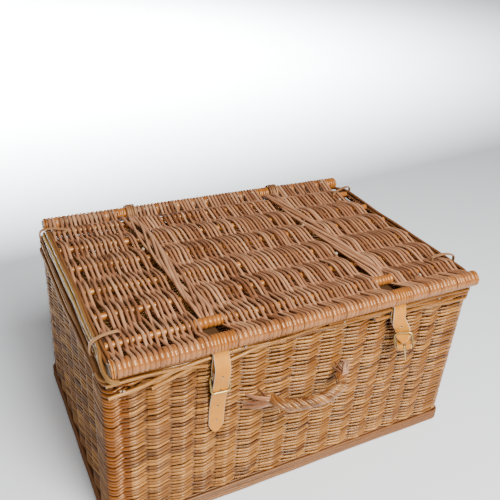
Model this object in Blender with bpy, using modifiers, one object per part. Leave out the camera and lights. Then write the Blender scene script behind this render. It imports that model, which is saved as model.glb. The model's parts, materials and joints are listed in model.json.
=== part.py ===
"""A rectangular wicker picnic basket with a hinged lid, two leather straps with brass buckles and
a roped willow handle on its front wall.

Metres, +Z up. The origin is on the ground under the middle of the body, X runs along the front
wall and -Y is the front. Each willow panel is a plain solid of the true outer shape, because the
rods that it is woven from are too fine to be solids of their own.
"""

import math

import bmesh
import bpy
from mathutils import Matrix, Vector

# ---- Driving dimensions ---------------------------------------------------------------------

GAP = 0.0003  # between pieces that touch

BODY_LENGTH = 0.515
BODY_DEPTH = 0.331
WALL = 0.009
RIM_Z = 0.2435  # top of the body's border
BORDER_HEIGHT = 0.016
BORDER_WIDTH = 0.016
BORDER_PROUD = 0.003
FOOT_HEIGHT = 0.018
FOOT_WIDTH = 0.0125
FOOT_PROUD = 0.0025
BASE_THICKNESS = 0.013
POST_RADIUS = 0.008

LID_AXIS_Z = 0.2590  # height of the axes of all the lid's sticks
STICK_LENGTH = 0.500
STICK_RADIUS = 0.0105  # the front and back sticks, with their wrapping
FRONT_STICK_Y = -0.1705
BACK_STICK_Y = 0.1705
INNER_STICK_RADIUS = 0.005
# The inner sticks' middles, and the slope of each, because they don't run quite along X.
INNER_STICKS = (
    (-0.1310, 0.005),
    (-0.0805, -0.012),
    (-0.0295, -0.028),
    (0.0275, -0.028),
    (0.0790, -0.040),
    (0.1325, -0.034),
)
PANEL_BELOW = 0.0065  # panel's faces below and above the stick axes
PANEL_ABOVE = 0.0085
PANEL_X = 0.2440
BAND_X = 0.1225  # middle of each band of long rods, and of the strap gap in front of it
BAND_WIDTH = 0.0264
BAND_Y = (-0.1225, 0.1500)
BAND_PROUD = 0.0025  # how far the bands stand above the panels
EDGE_ROD_WIDTH = 0.0115
TIE_RADIUS = 0.0013
TIE_Y = {"front": -0.127, "back": 0.134}

LOOP_WIDTH = 0.014
LOOP_THICKNESS = 0.0035

STRAP_WIDTH = 0.019
STRAP_THICKNESS = 0.0022
CHAPE_WIDTH = 0.0184
CHAPE_THICKNESS = 0.0016
STRAP_LEFT_X = -0.1260
STRAP_RIGHT_X = 0.1235
STRAP_HOLE_RADIUS = 0.0016
STRAP_UNDER_LID = 0.0005  # room between the lid's underside and a strap
STRAP_STAND_OFF = 0.0031  # from the chape's front face to the strap's middle, at the rim
STRAP_BEND = 0.0057  # radius of the strap's turn over the rim

RIVET_SHANK = 0.0014
RIVET_HEAD = 0.0036
RIVET_HEAD_HEIGHT = 0.0008
RIVET_Y = -0.1060  # of the rivet that holds a strap's inner end under the lid
RIVET_BLIND_DEPTH = 0.008
CHAPE_RIVET_Z = 0.2350

WIRE_RADIUS = 0.0012  # brass wire of the buckles
BUCKLE_SPAN = 0.0224  # between the centres of a frame's two sides
BUCKLE_REACH = 0.0190  # from the heel bar's centre to the front bar's
PRONG_LENGTH = 0.0205
PRONG_RADIUS = 0.0010
PRONG_EYE_WALL = 0.0009
PRONG_SLOT = (0.0034, 0.0120, 0.0110)  # cut out of the chape's turn

HANDLE_X = -0.008
HANDLE_Z = 0.160
HANDLE_HALF_SPAN = 0.050
HANDLE_BOW = 0.0262
HANDLE_RADIUS = 0.0078
HANDLE_END_RADIUS = 0.0052
ROOT_RING_RADIUS = 0.0080
ROOT_WIRE_RADIUS = 0.0022

# ---- Worked out from them -------------------------------------------------------------------

HALF_LENGTH = BODY_LENGTH / 2
HALF_DEPTH = BODY_DEPTH / 2
BORDER_Z = RIM_Z - BORDER_HEIGHT
WALL_BOTTOM = FOOT_HEIGHT + GAP
WALL_TOP = BORDER_Z - GAP
HANDLE_Y = -(HALF_DEPTH + GAP + ROOT_RING_RADIUS + ROOT_WIRE_RADIUS)

# Colour, roughness and metallic value of each kind of material.
FINISHES = {
    "willow": ((0.60, 0.34, 0.15), 0.50, 0.0),
    "willow_dark": ((0.45, 0.24, 0.11), 0.55, 0.0),
    "willow_wrap": ((0.66, 0.38, 0.15), 0.35, 0.0),
    "leather": ((0.72, 0.45, 0.20), 0.50, 0.0),
    "brass": ((0.78, 0.66, 0.38), 0.25, 1.0),
}


# ---- Scene and helpers ----------------------------------------------------------------------


def new_collection(name):
    collection = bpy.data.collections.new(name)
    bpy.context.scene.collection.children.link(collection)
    return collection


def clear_scene():
    for obj in list(bpy.data.objects):
        bpy.data.objects.remove(obj)


clear_scene()
PARTS = new_collection("wicker_picnic_basket")
CUTTERS = new_collection("cutters")


def finish(obj, kind):
    """Gives the object a material of its own, of the kind named."""
    colour, roughness, metallic = FINISHES[kind]
    material = bpy.data.materials.new(obj.name)
    material.use_nodes = True
    shader = material.node_tree.nodes["Principled BSDF"]
    shader.inputs["Base Color"].default_value = (*colour, 1.0)
    shader.inputs["Roughness"].default_value = roughness
    shader.inputs["Metallic"].default_value = metallic
    obj.data.materials.append(material)
    return obj


def object_of(name, bm, collection=PARTS, smooth_angle=None):
    """An object in the collection from a bmesh, which it frees."""
    bmesh.ops.recalc_face_normals(bm, faces=bm.faces)
    mesh = bpy.data.meshes.new(name)
    bm.to_mesh(mesh)
    bm.free()
    if smooth_angle is not None:
        mesh.shade_smooth()
        mesh.set_sharp_from_angle(angle=smooth_angle)
    obj = bpy.data.objects.new(name, mesh)
    collection.objects.link(obj)
    return obj


def as_cutter(obj):
    obj.hide_render = True
    obj.display_type = "WIRE"
    return obj


def cut(obj, cutter):
    modifier = obj.modifiers.new("cut_" + cutter.name, "BOOLEAN")
    modifier.operation = "DIFFERENCE"
    modifier.solver = "EXACT"
    modifier.object = cutter


def block(name, low, high, kind, rounding=0.0, collection=PARTS):
    """A box from its lowest to its highest corner, placed by its location."""
    low, high = Vector(low), Vector(high)
    size = high - low
    bm = bmesh.new()
    bmesh.ops.create_cube(bm, size=1.0)
    bmesh.ops.scale(bm, vec=size, verts=bm.verts)
    obj = object_of(name, bm, collection)
    obj.location = (low + high) / 2
    if rounding:
        bevel = obj.modifiers.new("rounding", "BEVEL")
        bevel.width = rounding
        bevel.segments = 2
    return finish(obj, kind)


def add_cylinder(bm, centre, axis, radius, length, sides=12):
    """Adds a closed cylinder to the bmesh, its axis along the vector."""
    turn = Vector((0, 0, 1)).rotation_difference(Vector(axis)).to_matrix().to_4x4()
    bmesh.ops.create_cone(
        bm,
        cap_ends=True,
        segments=sides,
        radius1=radius,
        radius2=radius,
        depth=length,
        matrix=Matrix.Translation(centre) @ turn,
    )


def cylinder(name, centre, axis, radius, length, kind, sides=12):
    bm = bmesh.new()
    add_cylinder(bm, (0, 0, 0), axis, radius, length, sides)
    obj = object_of(name, bm, smooth_angle=math.radians(40))
    obj.location = centre
    return finish(obj, kind)


def tube(name, points, radius, kind, radii=None, cyclic=False, sides_step=2):
    """A round rod along the points, as a curve with filled caps."""
    curve = bpy.data.curves.new(name, "CURVE")
    curve.dimensions = "3D"
    curve.bevel_depth = radius
    curve.bevel_resolution = sides_step
    curve.use_fill_caps = True
    spline = curve.splines.new("POLY")
    spline.points.add(len(points) - 1)
    for i, point in enumerate(points):
        spline.points[i].co = (*point, 1.0)
        spline.points[i].radius = radii[i] if radii else 1.0
    spline.use_cyclic_u = cyclic
    obj = bpy.data.objects.new(name, curve)
    PARTS.objects.link(obj)
    return finish(obj, kind)


def smooth_path(points, steps):
    """Points on a Catmull-Rom curve through the given ones, with this many steps a span."""
    points = [Vector(p) for p in points]
    ends = [2 * points[0] - points[1], *points, 2 * points[-1] - points[-2]]
    path = []
    for a, b, c, d in zip(ends, ends[1:], ends[2:], ends[3:], strict=False):
        for i in range(steps):
            t = i / steps
            path.append(
                0.5 * (2 * b + (c - a) * t + (2 * a - 5 * b + 4 * c - d) * t**2)
                + 0.5 * (3 * b - a - 3 * c + d) * t**3
            )
    path.append(points[-1])
    return path


def arc(centre, radius, start, end, steps):
    """Points on a circle in the YZ plane, as (y, z), between two angles in degrees from +Y."""
    return [
        (
            centre[0] + radius * math.cos(math.radians(start + (end - start) * i / steps)),
            centre[1] + radius * math.sin(math.radians(start + (end - start) * i / steps)),
        )
        for i in range(steps + 1)
    ]


# ---- Body -----------------------------------------------------------------------------------


def make_base():
    inside_x = HALF_LENGTH + FOOT_PROUD - FOOT_WIDTH - GAP
    inside_y = HALF_DEPTH + FOOT_PROUD - FOOT_WIDTH - GAP
    block("base_panel", (-inside_x, -inside_y, 0), (inside_x, inside_y, BASE_THICKNESS), "willow")


def rails(prefix, proud, width, bottom, top, kind, rounding):
    """Four rails round the body: the front and back ones full length, the side ones between them."""
    out_x = HALF_LENGTH + proud
    out_y = HALF_DEPTH + proud
    in_y = out_y - width
    for side, sign in (("front", -1), ("back", 1)):
        y = sorted((sign * out_y, sign * in_y))
        block(f"{prefix}_{side}", (-out_x, y[0], bottom), (out_x, y[1], top), kind, rounding)
    for side, sign in (("left", -1), ("right", 1)):
        x = sorted((sign * out_x, sign * (out_x - width)))
        block(
            f"{prefix}_{side}",
            (x[0], -in_y + GAP, bottom),
            (x[1], in_y - GAP, top),
            kind,
            rounding,
        )


def make_walls():
    end_x = HALF_LENGTH - 2 * POST_RADIUS - GAP
    end_y = HALF_DEPTH - 2 * POST_RADIUS - GAP
    for side, sign in (("front", -1), ("back", 1)):
        y = sorted((sign * HALF_DEPTH, sign * (HALF_DEPTH - WALL)))
        block(f"wall_{side}", (-end_x, y[0], WALL_BOTTOM), (end_x, y[1], WALL_TOP), "willow")
    for side, sign in (("left", -1), ("right", 1)):
        x = sorted((sign * HALF_LENGTH, sign * (HALF_LENGTH - WALL)))
        block(f"wall_{side}", (x[0], -end_y, WALL_BOTTOM), (x[1], end_y, WALL_TOP), "willow_dark")


def make_posts():
    height = WALL_TOP - WALL_BOTTOM
    for depth_name, depth_sign in (("front", -1), ("back", 1)):
        for side_name, side_sign in (("left", -1), ("right", 1)):
            cylinder(
                f"corner_post_{depth_name}_{side_name}",
                (
                    side_sign * (HALF_LENGTH - POST_RADIUS),
                    depth_sign * (HALF_DEPTH - POST_RADIUS),
                    WALL_BOTTOM + height / 2,
                ),
                (0, 0, 1),
                POST_RADIUS,
                height,
                "willow",
            )


# ---- Lid ------------------------------------------------------------------------------------


def make_sticks():
    for name, y in (("lid_stick_front", FRONT_STICK_Y), ("lid_stick_back", BACK_STICK_Y)):
        cylinder(
            name, (0, y, LID_AXIS_Z), (1, 0, 0), STICK_RADIUS, STICK_LENGTH, "willow_wrap", 16
        )
    for number, (y, slope) in enumerate(INNER_STICKS, start=2):
        cylinder(
            f"lid_stick_{number}",
            (0, y, LID_AXIS_Z),
            (1, slope, 0),
            INNER_STICK_RADIUS,
            2 * (PANEL_X - GAP),
            "willow_dark",
        )


def stick_bores():
    """The cutter for the holes through which the inner sticks run."""
    bm = bmesh.new()
    for y, slope in INNER_STICKS:
        add_cylinder(
            bm, (0, y, LID_AXIS_Z), (1, slope, 0), INNER_STICK_RADIUS + 1.2 * GAP, STICK_LENGTH
        )
    return as_cutter(object_of("stick_bores", bm, CUTTERS))


def make_lid_panels(bores):
    low_y = FRONT_STICK_Y + STICK_RADIUS + GAP
    high_y = BACK_STICK_Y - STICK_RADIUS - GAP
    half_band = BAND_WIDTH / 2 + GAP
    spans = {
        "left": (-PANEL_X, -BAND_X - half_band),
        "centre": (-BAND_X + half_band, BAND_X - half_band),
        "right": (BAND_X + half_band, PANEL_X),
    }
    for name, (low_x, high_x) in spans.items():
        panel = block(
            f"lid_weave_{name}",
            (low_x, low_y, LID_AXIS_Z - PANEL_BELOW),
            (high_x, high_y, LID_AXIS_Z + PANEL_ABOVE),
            "willow_dark",
        )
        cut(panel, bores)


def make_bands(bores):
    """The bands of long crossing rods, which end behind the strap gaps. A blind hole from below
    takes the strap's rivet."""
    for name, sign, strap_x in (("left", -1, STRAP_LEFT_X), ("right", 1, STRAP_RIGHT_X)):
        x = sign * BAND_X
        band = block(
            f"lid_band_{name}",
            (x - BAND_WIDTH / 2, BAND_Y[0], LID_AXIS_Z - PANEL_BELOW),
            (x + BAND_WIDTH / 2, BAND_Y[1], LID_AXIS_Z + PANEL_ABOVE + BAND_PROUD),
            "willow_dark",
        )
        cut(band, bores)
        bm = bmesh.new()
        centre = (strap_x, RIVET_Y, LID_AXIS_Z - PANEL_BELOW)
        add_cylinder(bm, centre, (0, 0, 1), RIVET_SHANK + GAP, 2 * RIVET_BLIND_DEPTH, 8)
        cut(band, as_cutter(object_of(f"strap_rivet_hole_{name}", bm, CUTTERS)))


def make_edge_rods():
    for name, sign in (("left", -1), ("right", 1)):
        x = sorted((sign * (PANEL_X + GAP), sign * (PANEL_X + GAP + EDGE_ROD_WIDTH)))
        block(
            f"lid_edge_{name}",
            (x[0], FRONT_STICK_Y + STICK_RADIUS + GAP, LID_AXIS_Z - PANEL_BELOW),
            (x[1], BACK_STICK_Y - STICK_RADIUS - GAP, LID_AXIS_Z + PANEL_ABOVE - 0.001),
            "willow",
            0.004,
        )


def make_corner_ties():
    """A thin willow loop near each corner, over the panel and round the edge rods."""
    clear = GAP + TIE_RADIUS
    top = LID_AXIS_Z + PANEL_ABOVE + clear
    bottom = LID_AXIS_Z - PANEL_BELOW - clear
    outside = PANEL_X + GAP + EDGE_ROD_WIDTH + clear
    for depth_name, y in TIE_Y.items():
        for side_name, sign in (("left", -1), ("right", 1)):
            points = [
                (sign * (outside - 0.034), y + 0.004, top),
                (sign * (outside - 0.018), y + 0.001, top + 0.0008),
                (sign * (outside - 0.003), y, top),
                (sign * outside, y, top - 0.003),
                (sign * outside, y, bottom + 0.003),
                (sign * (outside - 0.003), y, bottom),
                (sign * (outside - 0.022), y, bottom),
            ]
            tube(f"lid_tie_{depth_name}_{side_name}", points, TIE_RADIUS, "willow", sides_step=1)


# ---- Hinge loops ----------------------------------------------------------------------------


def hull_2d(points):
    """The convex outline of the points, counter-clockwise."""
    points = sorted(set(points))

    def half(sequence):
        chain = []
        for p in sequence:
            while len(chain) > 1:
                (ax, ay), (bx, by) = chain[-2], chain[-1]
                if (bx - ax) * (p[1] - ay) - (by - ay) * (p[0] - ax) > 1e-12:
                    break
                chain.pop()
            chain.append(p)
        return chain[:-1]

    return half(points) + half(points[::-1])


def loop_outline(extra):
    """The outline of a hinge loop round the back stick and the body's back border, this far out."""
    clear = 1.5 * GAP + extra
    inside = HALF_DEPTH + BORDER_PROUD - BORDER_WIDTH
    outside = HALF_DEPTH + BORDER_PROUD
    points = arc((BACK_STICK_Y, LID_AXIS_Z), STICK_RADIUS + clear, 0, 345, 23)
    for corner in ((inside, RIM_Z), (inside, BORDER_Z), (outside, BORDER_Z)):
        points += arc(corner, clear, 0, 330, 11)
    return hull_2d([(round(y, 7), round(z, 7)) for y, z in points])


def make_hinge_loops():
    for name, x in (("left", -BAND_X), ("right", BAND_X)):
        curve = bpy.data.curves.new(f"hinge_loop_{name}", "CURVE")
        curve.dimensions = "2D"
        curve.fill_mode = "BOTH"
        curve.extrude = LOOP_WIDTH / 2
        for extra in (LOOP_THICKNESS, 0.0):
            outline = loop_outline(extra)
            spline = curve.splines.new("POLY")
            spline.points.add(len(outline) - 1)
            for i, (y, z) in enumerate(outline):
                spline.points[i].co = (y, z, 0, 1)
            spline.use_cyclic_u = True
        obj = bpy.data.objects.new(f"hinge_loop_{name}", curve)
        obj.matrix_world = Matrix(((0, 0, 1, x), (1, 0, 0, 0), (0, 1, 0, 0), (0, 0, 0, 1)))
        PARTS.objects.link(obj)
        finish(obj, "willow_dark")
        room = 2 * GAP
        notch = block(
            f"loop_notch_{name}",
            (x - LOOP_WIDTH / 2 - room, 0.14, BORDER_Z - LOOP_THICKNESS - 3 * GAP),
            (x + LOOP_WIDTH / 2 + room, 0.18, BORDER_Z + 0.001),
            "willow",
            collection=CUTTERS,
        )
        cut(bpy.data.objects["wall_back"], as_cutter(notch))


# ---- Straps, chapes and buckles -------------------------------------------------------------


class Hang:
    """How a strap hangs below the rim: it twists and leans smoothly down to z_end and keeps that
    attitude below it, where the buckle is."""

    def __init__(self, x, pivot_y, yaw, lean, z_start, z_end):
        self.pivot = Vector((x, pivot_y, z_start))
        self.yaw = math.radians(yaw)
        self.lean = math.radians(lean)
        self.z_start = z_start
        self.z_end = z_end

    def turn(self, share=1.0):
        return Matrix.Rotation(self.lean * share, 3, "Y") @ Matrix.Rotation(
            self.yaw * share, 3, "Z"
        )

    def place(self, across, y, z):
        """The world position of a point given across the strap and in the YZ plane of its path."""
        share = min(max((self.z_start - z) / (self.z_start - self.z_end), 0.0), 1.0)
        share = share * share * (3 - 2 * share)
        local = Vector((across, y - self.pivot.y, z - self.pivot.z))
        return self.pivot + self.turn(share) @ local

    def matrix(self, y, z):
        """The matrix of a rigid piece that hangs at this place on the strap's path."""
        return Matrix.Translation(self.place(0.0, y, z)) @ self.turn().to_4x4()


def ribbon(name, path, width, thickness, hang, tip=0.0, end_width=1.0):
    """A flat leather strip along a path of (y, z), with a pointed end over the last tip metres."""
    lengths = [0.0]
    for a, b in zip(path, path[1:], strict=False):
        lengths.append(lengths[-1] + (Vector(b) - Vector(a)).length)
    bm = bmesh.new()
    rows = []
    for (y, z), length in zip(path, lengths, strict=True):
        left = lengths[-1] - length
        share = 1.0
        if tip and left < tip:
            share = end_width + (1 - end_width) * math.sin(left / tip * math.pi / 2)
        half = share * width / 2
        rows.append([bm.verts.new(hang.place(across, y, z)) for across in (-half, 0.0, half)])
    for above, below in zip(rows, rows[1:], strict=False):
        for i in range(2):
            bm.faces.new((above[i], above[i + 1], below[i + 1], below[i]))
    obj = object_of(name, bm)
    solidify = obj.modifiers.new("thickness", "SOLIDIFY")
    solidify.thickness = thickness
    solidify.offset = 0.0
    solidify.use_even_offset = True
    return finish(obj, "leather")


def path_normal_hole(name, hang, place, direction, radius, length=0.010):
    """A cutter for a hole through the leather at (y, z), along a direction in the YZ plane."""
    axis = hang.turn() @ Vector((0, *direction))
    bm = bmesh.new()
    add_cylinder(bm, hang.place(0.0, *place), axis, radius, length, 8)
    return as_cutter(object_of(name, bm, CUTTERS))


def frame_directions(tilt, up):
    """Unit vectors in (y, z) from the heel bar to the front bar and out of the frame's face."""
    angle = math.radians(tilt)
    along = Vector((math.sin(angle), math.cos(angle))) * up
    outward = Vector((-math.cos(angle), math.sin(angle)))
    return along, outward


def make_buckle(side, hang, heel, tilt, up):
    """A wire frame whose heel bar is the axis it swings about, and the prong on that bar."""
    along, _ = frame_directions(tilt, up)
    half = BUCKLE_SPAN / 2
    corner = 0.0025
    cut_corner = corner * (1 - math.sqrt(0.5))
    outline = [
        (-half, corner),
        (-half, BUCKLE_REACH - corner),
        (-half + cut_corner, BUCKLE_REACH - cut_corner),
        (-half + corner, BUCKLE_REACH),
        (half - corner, BUCKLE_REACH),
        (half - cut_corner, BUCKLE_REACH - cut_corner),
        (half, BUCKLE_REACH - corner),
        (half, corner),
        (half - cut_corner, cut_corner),
        (half - corner, 0),
        (-half + corner, 0),
        (-half + cut_corner, cut_corner),
    ]
    points = [(x, along.x * u, along.y * u) for x, u in outline]
    frame = tube(f"buckle_{side}", points, WIRE_RADIUS, "brass", cyclic=True)
    frame.matrix_world = hang.matrix(*heel)


def make_prong(side, hang, heel):
    """The prong hangs straight down from its eye on the heel bar."""
    eye_outer = WIRE_RADIUS + GAP + PRONG_EYE_WALL
    eye_inner = WIRE_RADIUS + GAP
    width = 2 * PRONG_RADIUS + 0.0004
    bm = bmesh.new()
    add_cylinder(bm, (0, 0, 0), (1, 0, 0), eye_outer, width)
    prong = object_of(f"prong_{side}", bm, smooth_angle=math.radians(40))
    turn = hang.turn()
    down = turn.inverted() @ Vector((0, 0, -1))
    down.x = 0
    down.normalize()
    shank_start = eye_inner + 0.0004
    shank_length = PRONG_LENGTH - shank_start
    bm = bmesh.new()
    add_cylinder(bm, down * (shank_start + shank_length / 2), down, PRONG_RADIUS, shank_length, 8)
    shank = as_cutter(object_of(f"prong_shank_{side}", bm, CUTTERS))
    bm = bmesh.new()
    add_cylinder(bm, (0, 0, 0), (1, 0, 0), eye_inner, 2 * width)
    hole = as_cutter(object_of(f"prong_eye_{side}", bm, CUTTERS))
    for obj in (prong, shank, hole):
        obj.matrix_world = hang.matrix(*heel)
    union = prong.modifiers.new("shank", "BOOLEAN")
    union.operation = "UNION"
    union.solver = "EXACT"
    union.object = shank
    cut(prong, hole)
    finish(prong, "brass")


def chape_top_path():
    """The chape's path from its inner tail over the border to the front of the rim."""
    reach = CHAPE_THICKNESS / 2 + GAP
    inside = -(HALF_DEPTH + BORDER_PROUD - BORDER_WIDTH)
    outside = -(HALF_DEPTH + BORDER_PROUD)
    top = RIM_Z + reach
    soft = 0.003
    return (
        [(inside + reach, BORDER_Z - 0.001), (inside + reach, CHAPE_RIVET_Z)]
        + arc((inside + reach - soft, top - soft), soft, 0, 90, 3)
        + arc((outside - reach + soft, top - soft), soft, 90, 180, 3)
    )


def strap_top_path():
    """A strap's path from its inner end under the lid, below the front stick, to the rim's front."""
    under_lid = LID_AXIS_Z - PANEL_BELOW - STRAP_THICKNESS / 2 - STRAP_UNDER_LID
    over_rim = RIM_Z + CHAPE_THICKNESS + STRAP_THICKNESS / 2 + 2.4 * GAP
    front = -(HALF_DEPTH + BORDER_PROUD + CHAPE_THICKNESS + STRAP_STAND_OFF)
    return (
        [(-0.0980, under_lid), (RIVET_Y, under_lid), (-0.1300, under_lid), (-0.1480, under_lid)]
        + [(-0.1550, under_lid - 0.0025), (-0.1600, over_rim)]
        + arc((front + STRAP_BEND, over_rim - STRAP_BEND), STRAP_BEND, 90, 180, 4)
    )


def heel_loop(heel, start, end, steps=8):
    """The chape's turn round the heel bar, between two angles in the YZ plane."""
    radius = WIRE_RADIUS + GAP + CHAPE_THICKNESS / 2
    return arc(heel, radius, start, end, steps)


def add_rivets(side, strap_x):
    """The rivet through the chape and the border, and the one that holds the strap's inner end."""
    inside = -(HALF_DEPTH + BORDER_PROUD - BORDER_WIDTH) + CHAPE_THICKNESS + 2 * GAP
    outside = -(HALF_DEPTH + BORDER_PROUD) - CHAPE_THICKNESS - 2 * GAP
    middle = (strap_x, (inside + outside) / 2, CHAPE_RIVET_Z)
    length = inside - outside
    rivet(f"chape_rivet_{side}", middle, (0, 1, 0), length, heads=(-1, 1))
    under = LID_AXIS_Z - PANEL_BELOW - STRAP_THICKNESS - STRAP_UNDER_LID - GAP
    length = RIVET_BLIND_DEPTH - 0.001 + STRAP_THICKNESS + STRAP_UNDER_LID
    middle = (strap_x, RIVET_Y, under + length / 2)
    rivet(f"strap_rivet_{side}", middle, (0, 0, 1), length, heads=(-1,))


def rivet(name, middle, axis, length, heads):
    """A rivet with a flat head at each end listed: -1 at the low end of its axis, 1 at the high."""
    bm = bmesh.new()
    add_cylinder(bm, (0, 0, 0), axis, RIVET_SHANK, length + RIVET_HEAD_HEIGHT, 8)
    obj = object_of(name, bm, smooth_angle=math.radians(40))
    obj.location = middle
    for end in heads:
        bm = bmesh.new()
        centre = Vector(axis) * end * (length + RIVET_HEAD_HEIGHT) / 2
        add_cylinder(bm, centre, axis, RIVET_HEAD, RIVET_HEAD_HEIGHT, 10)
        head = as_cutter(object_of(f"{name}_head_{end}", bm, CUTTERS))
        head.location = middle
        union = obj.modifiers.new("head", "BOOLEAN")
        union.operation = "UNION"
        union.solver = "EXACT"
        union.object = head
    finish(obj, "brass")


def rivet_holes(side, strap_x, strap, chape):
    """The holes that the rivets pass through."""
    bm = bmesh.new()
    add_cylinder(bm, (strap_x, -HALF_DEPTH, CHAPE_RIVET_Z), (0, 1, 0), RIVET_SHANK + GAP, 0.06, 8)
    through = as_cutter(object_of(f"chape_rivet_bore_{side}", bm, CUTTERS))
    cut(chape, through)
    cut(bpy.data.objects["border_front"], through)
    bm = bmesh.new()
    add_cylinder(bm, (strap_x, RIVET_Y, LID_AXIS_Z), (0, 0, 1), RIVET_SHANK + GAP, 0.03, 8)
    cut(strap, as_cutter(object_of(f"strap_rivet_bore_{side}", bm, CUTTERS)))


def prong_slot(side, hang, heel, chape):
    """The slot in the chape's turn that leaves the prong room."""
    corner = Vector(PRONG_SLOT) / 2
    slot = block(f"prong_slot_{side}", -corner, corner, "leather", collection=CUTTERS)
    slot.matrix_world = hang.matrix(*heel)
    cut(chape, as_cutter(slot))


def make_left_fastening():
    """The left buckle hangs from its heel bar: the strap lies over the bar and its tail goes
    behind the front bar and down the wall."""
    hang = Hang(STRAP_LEFT_X, -0.1740, yaw=-5, lean=0, z_start=0.2300, z_end=0.2180)
    heel = (-0.1708, 0.2110)
    tilt = 20
    back = heel[0] + WIRE_RADIUS + GAP + CHAPE_THICKNESS / 2
    front = heel[0] - (WIRE_RADIUS + GAP + CHAPE_THICKNESS / 2)
    chape_path = (
        chape_top_path()
        + [(-0.1697, 0.2340), (-0.1694, 0.2290), (back, 0.2220)]
        + heel_loop(heel, 0, -180)
        + [(front, heel[1] + 0.0085)]
    )
    chape = ribbon("chape_left", chape_path, CHAPE_WIDTH, CHAPE_THICKNESS, hang)
    fall = [
        (-0.1745, 0.2395),
        (-0.1785, 0.2310),
        (-0.1800, 0.2220),
        (-0.1787, 0.2120),
        (-0.1765, 0.2030),
        (-0.1745, 0.1935),
        (-0.1722, 0.1840),
        (-0.1690, 0.1700),
        (-0.1676, 0.1560),
        (-0.1674, 0.1400),
        (-0.1674, 0.1240),
    ]
    top = strap_top_path()
    falling = [(p.x, p.y) for p in smooth_path([(*p, 0) for p in [top[-1], *fall]], 2)]
    strap_path = top + falling[1:]
    strap = ribbon("strap_left", strap_path, STRAP_WIDTH, STRAP_THICKNESS, hang, 0.014, 0.25)
    holes = {
        (-0.1797, 0.2180): 0,
        (-0.1747, 0.1945): -12,
        (-0.1683, 0.1655): -8,
        (-0.1674, 0.1420): 0,
    }
    for number, (place, slope) in enumerate(holes.items(), start=1):
        direction = (math.cos(math.radians(slope)), math.sin(math.radians(slope)))
        hole = path_normal_hole(
            f"strap_left_hole_{number}", hang, place, direction, STRAP_HOLE_RADIUS
        )
        cut(strap, hole)
    prong_slot("left", hang, heel, chape)
    rivet_holes("left", STRAP_LEFT_X, strap, chape)
    make_buckle("left", hang, heel, tilt, up=-1)
    make_prong("left", hang, heel)
    add_rivets("left", STRAP_LEFT_X)


def make_right_fastening():
    """The right buckle stands on its heel bar, twisted and leaning towards the wall: the strap
    goes behind the front bar and its pointed end lies in the frame."""
    hang = Hang(STRAP_RIGHT_X, -0.1820, yaw=-32, lean=-16, z_start=0.2290, z_end=0.2080)
    tilt = 28
    heel = Vector((-0.1883, 0.1880))
    along, outward = frame_directions(tilt, up=1)
    front_bar = heel + along * BUCKLE_REACH
    behind_bar = WIRE_RADIUS + 1.5 * GAP + STRAP_THICKNESS / 2
    behind_strap = STRAP_THICKNESS / 2 + 1.5 * GAP + CHAPE_THICKNESS / 2
    strap_at_bar = front_bar - outward * behind_bar
    chape_at_bar = front_bar - outward * (behind_bar + behind_strap)
    chape_path = (
        chape_top_path()
        + [(-0.1696, 0.2310), (-0.1705, 0.2260), (-0.1722, 0.2190), (-0.1737, 0.2110)]
        + [tuple(chape_at_bar), tuple(heel + along * 0.0060 - outward * 0.0030)]
        + heel_loop(heel, -tilt, -tilt - 180)
        + [tuple(heel + along * 0.0035 + outward * (WIRE_RADIUS + GAP + CHAPE_THICKNESS / 2))]
    )
    chape = ribbon("chape_right", chape_path, CHAPE_WIDTH, CHAPE_THICKNESS, hang)
    top = strap_top_path()
    fall = [
        top[-1],
        (-0.1746, 0.2340),
        (-0.1757, 0.2240),
        (-0.1764, 0.2140),
        tuple(strap_at_bar),
        tuple(heel + along * 0.0125 - outward * 0.0010),
        tuple(heel + along * 0.0062 + outward * 0.0018),
    ]
    falling = [(p.x, p.y) for p in smooth_path([(*p, 0) for p in fall], 3)]
    strap_path = top + falling[1:]
    strap = ribbon("strap_right", strap_path, STRAP_WIDTH, STRAP_THICKNESS, hang, 0.011, 0.3)
    hole = path_normal_hole(
        "strap_right_hole", hang, (-0.1763, 0.2145), (1, 0.08), STRAP_HOLE_RADIUS
    )
    cut(strap, hole)
    prong_slot("right", hang, heel, chape)
    rivet_holes("right", STRAP_RIGHT_X, strap, chape)
    make_buckle("right", hang, heel, tilt, up=1)
    make_prong("right", hang, heel)
    add_rivets("right", STRAP_RIGHT_X)


# ---- Handle ---------------------------------------------------------------------------------


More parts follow.
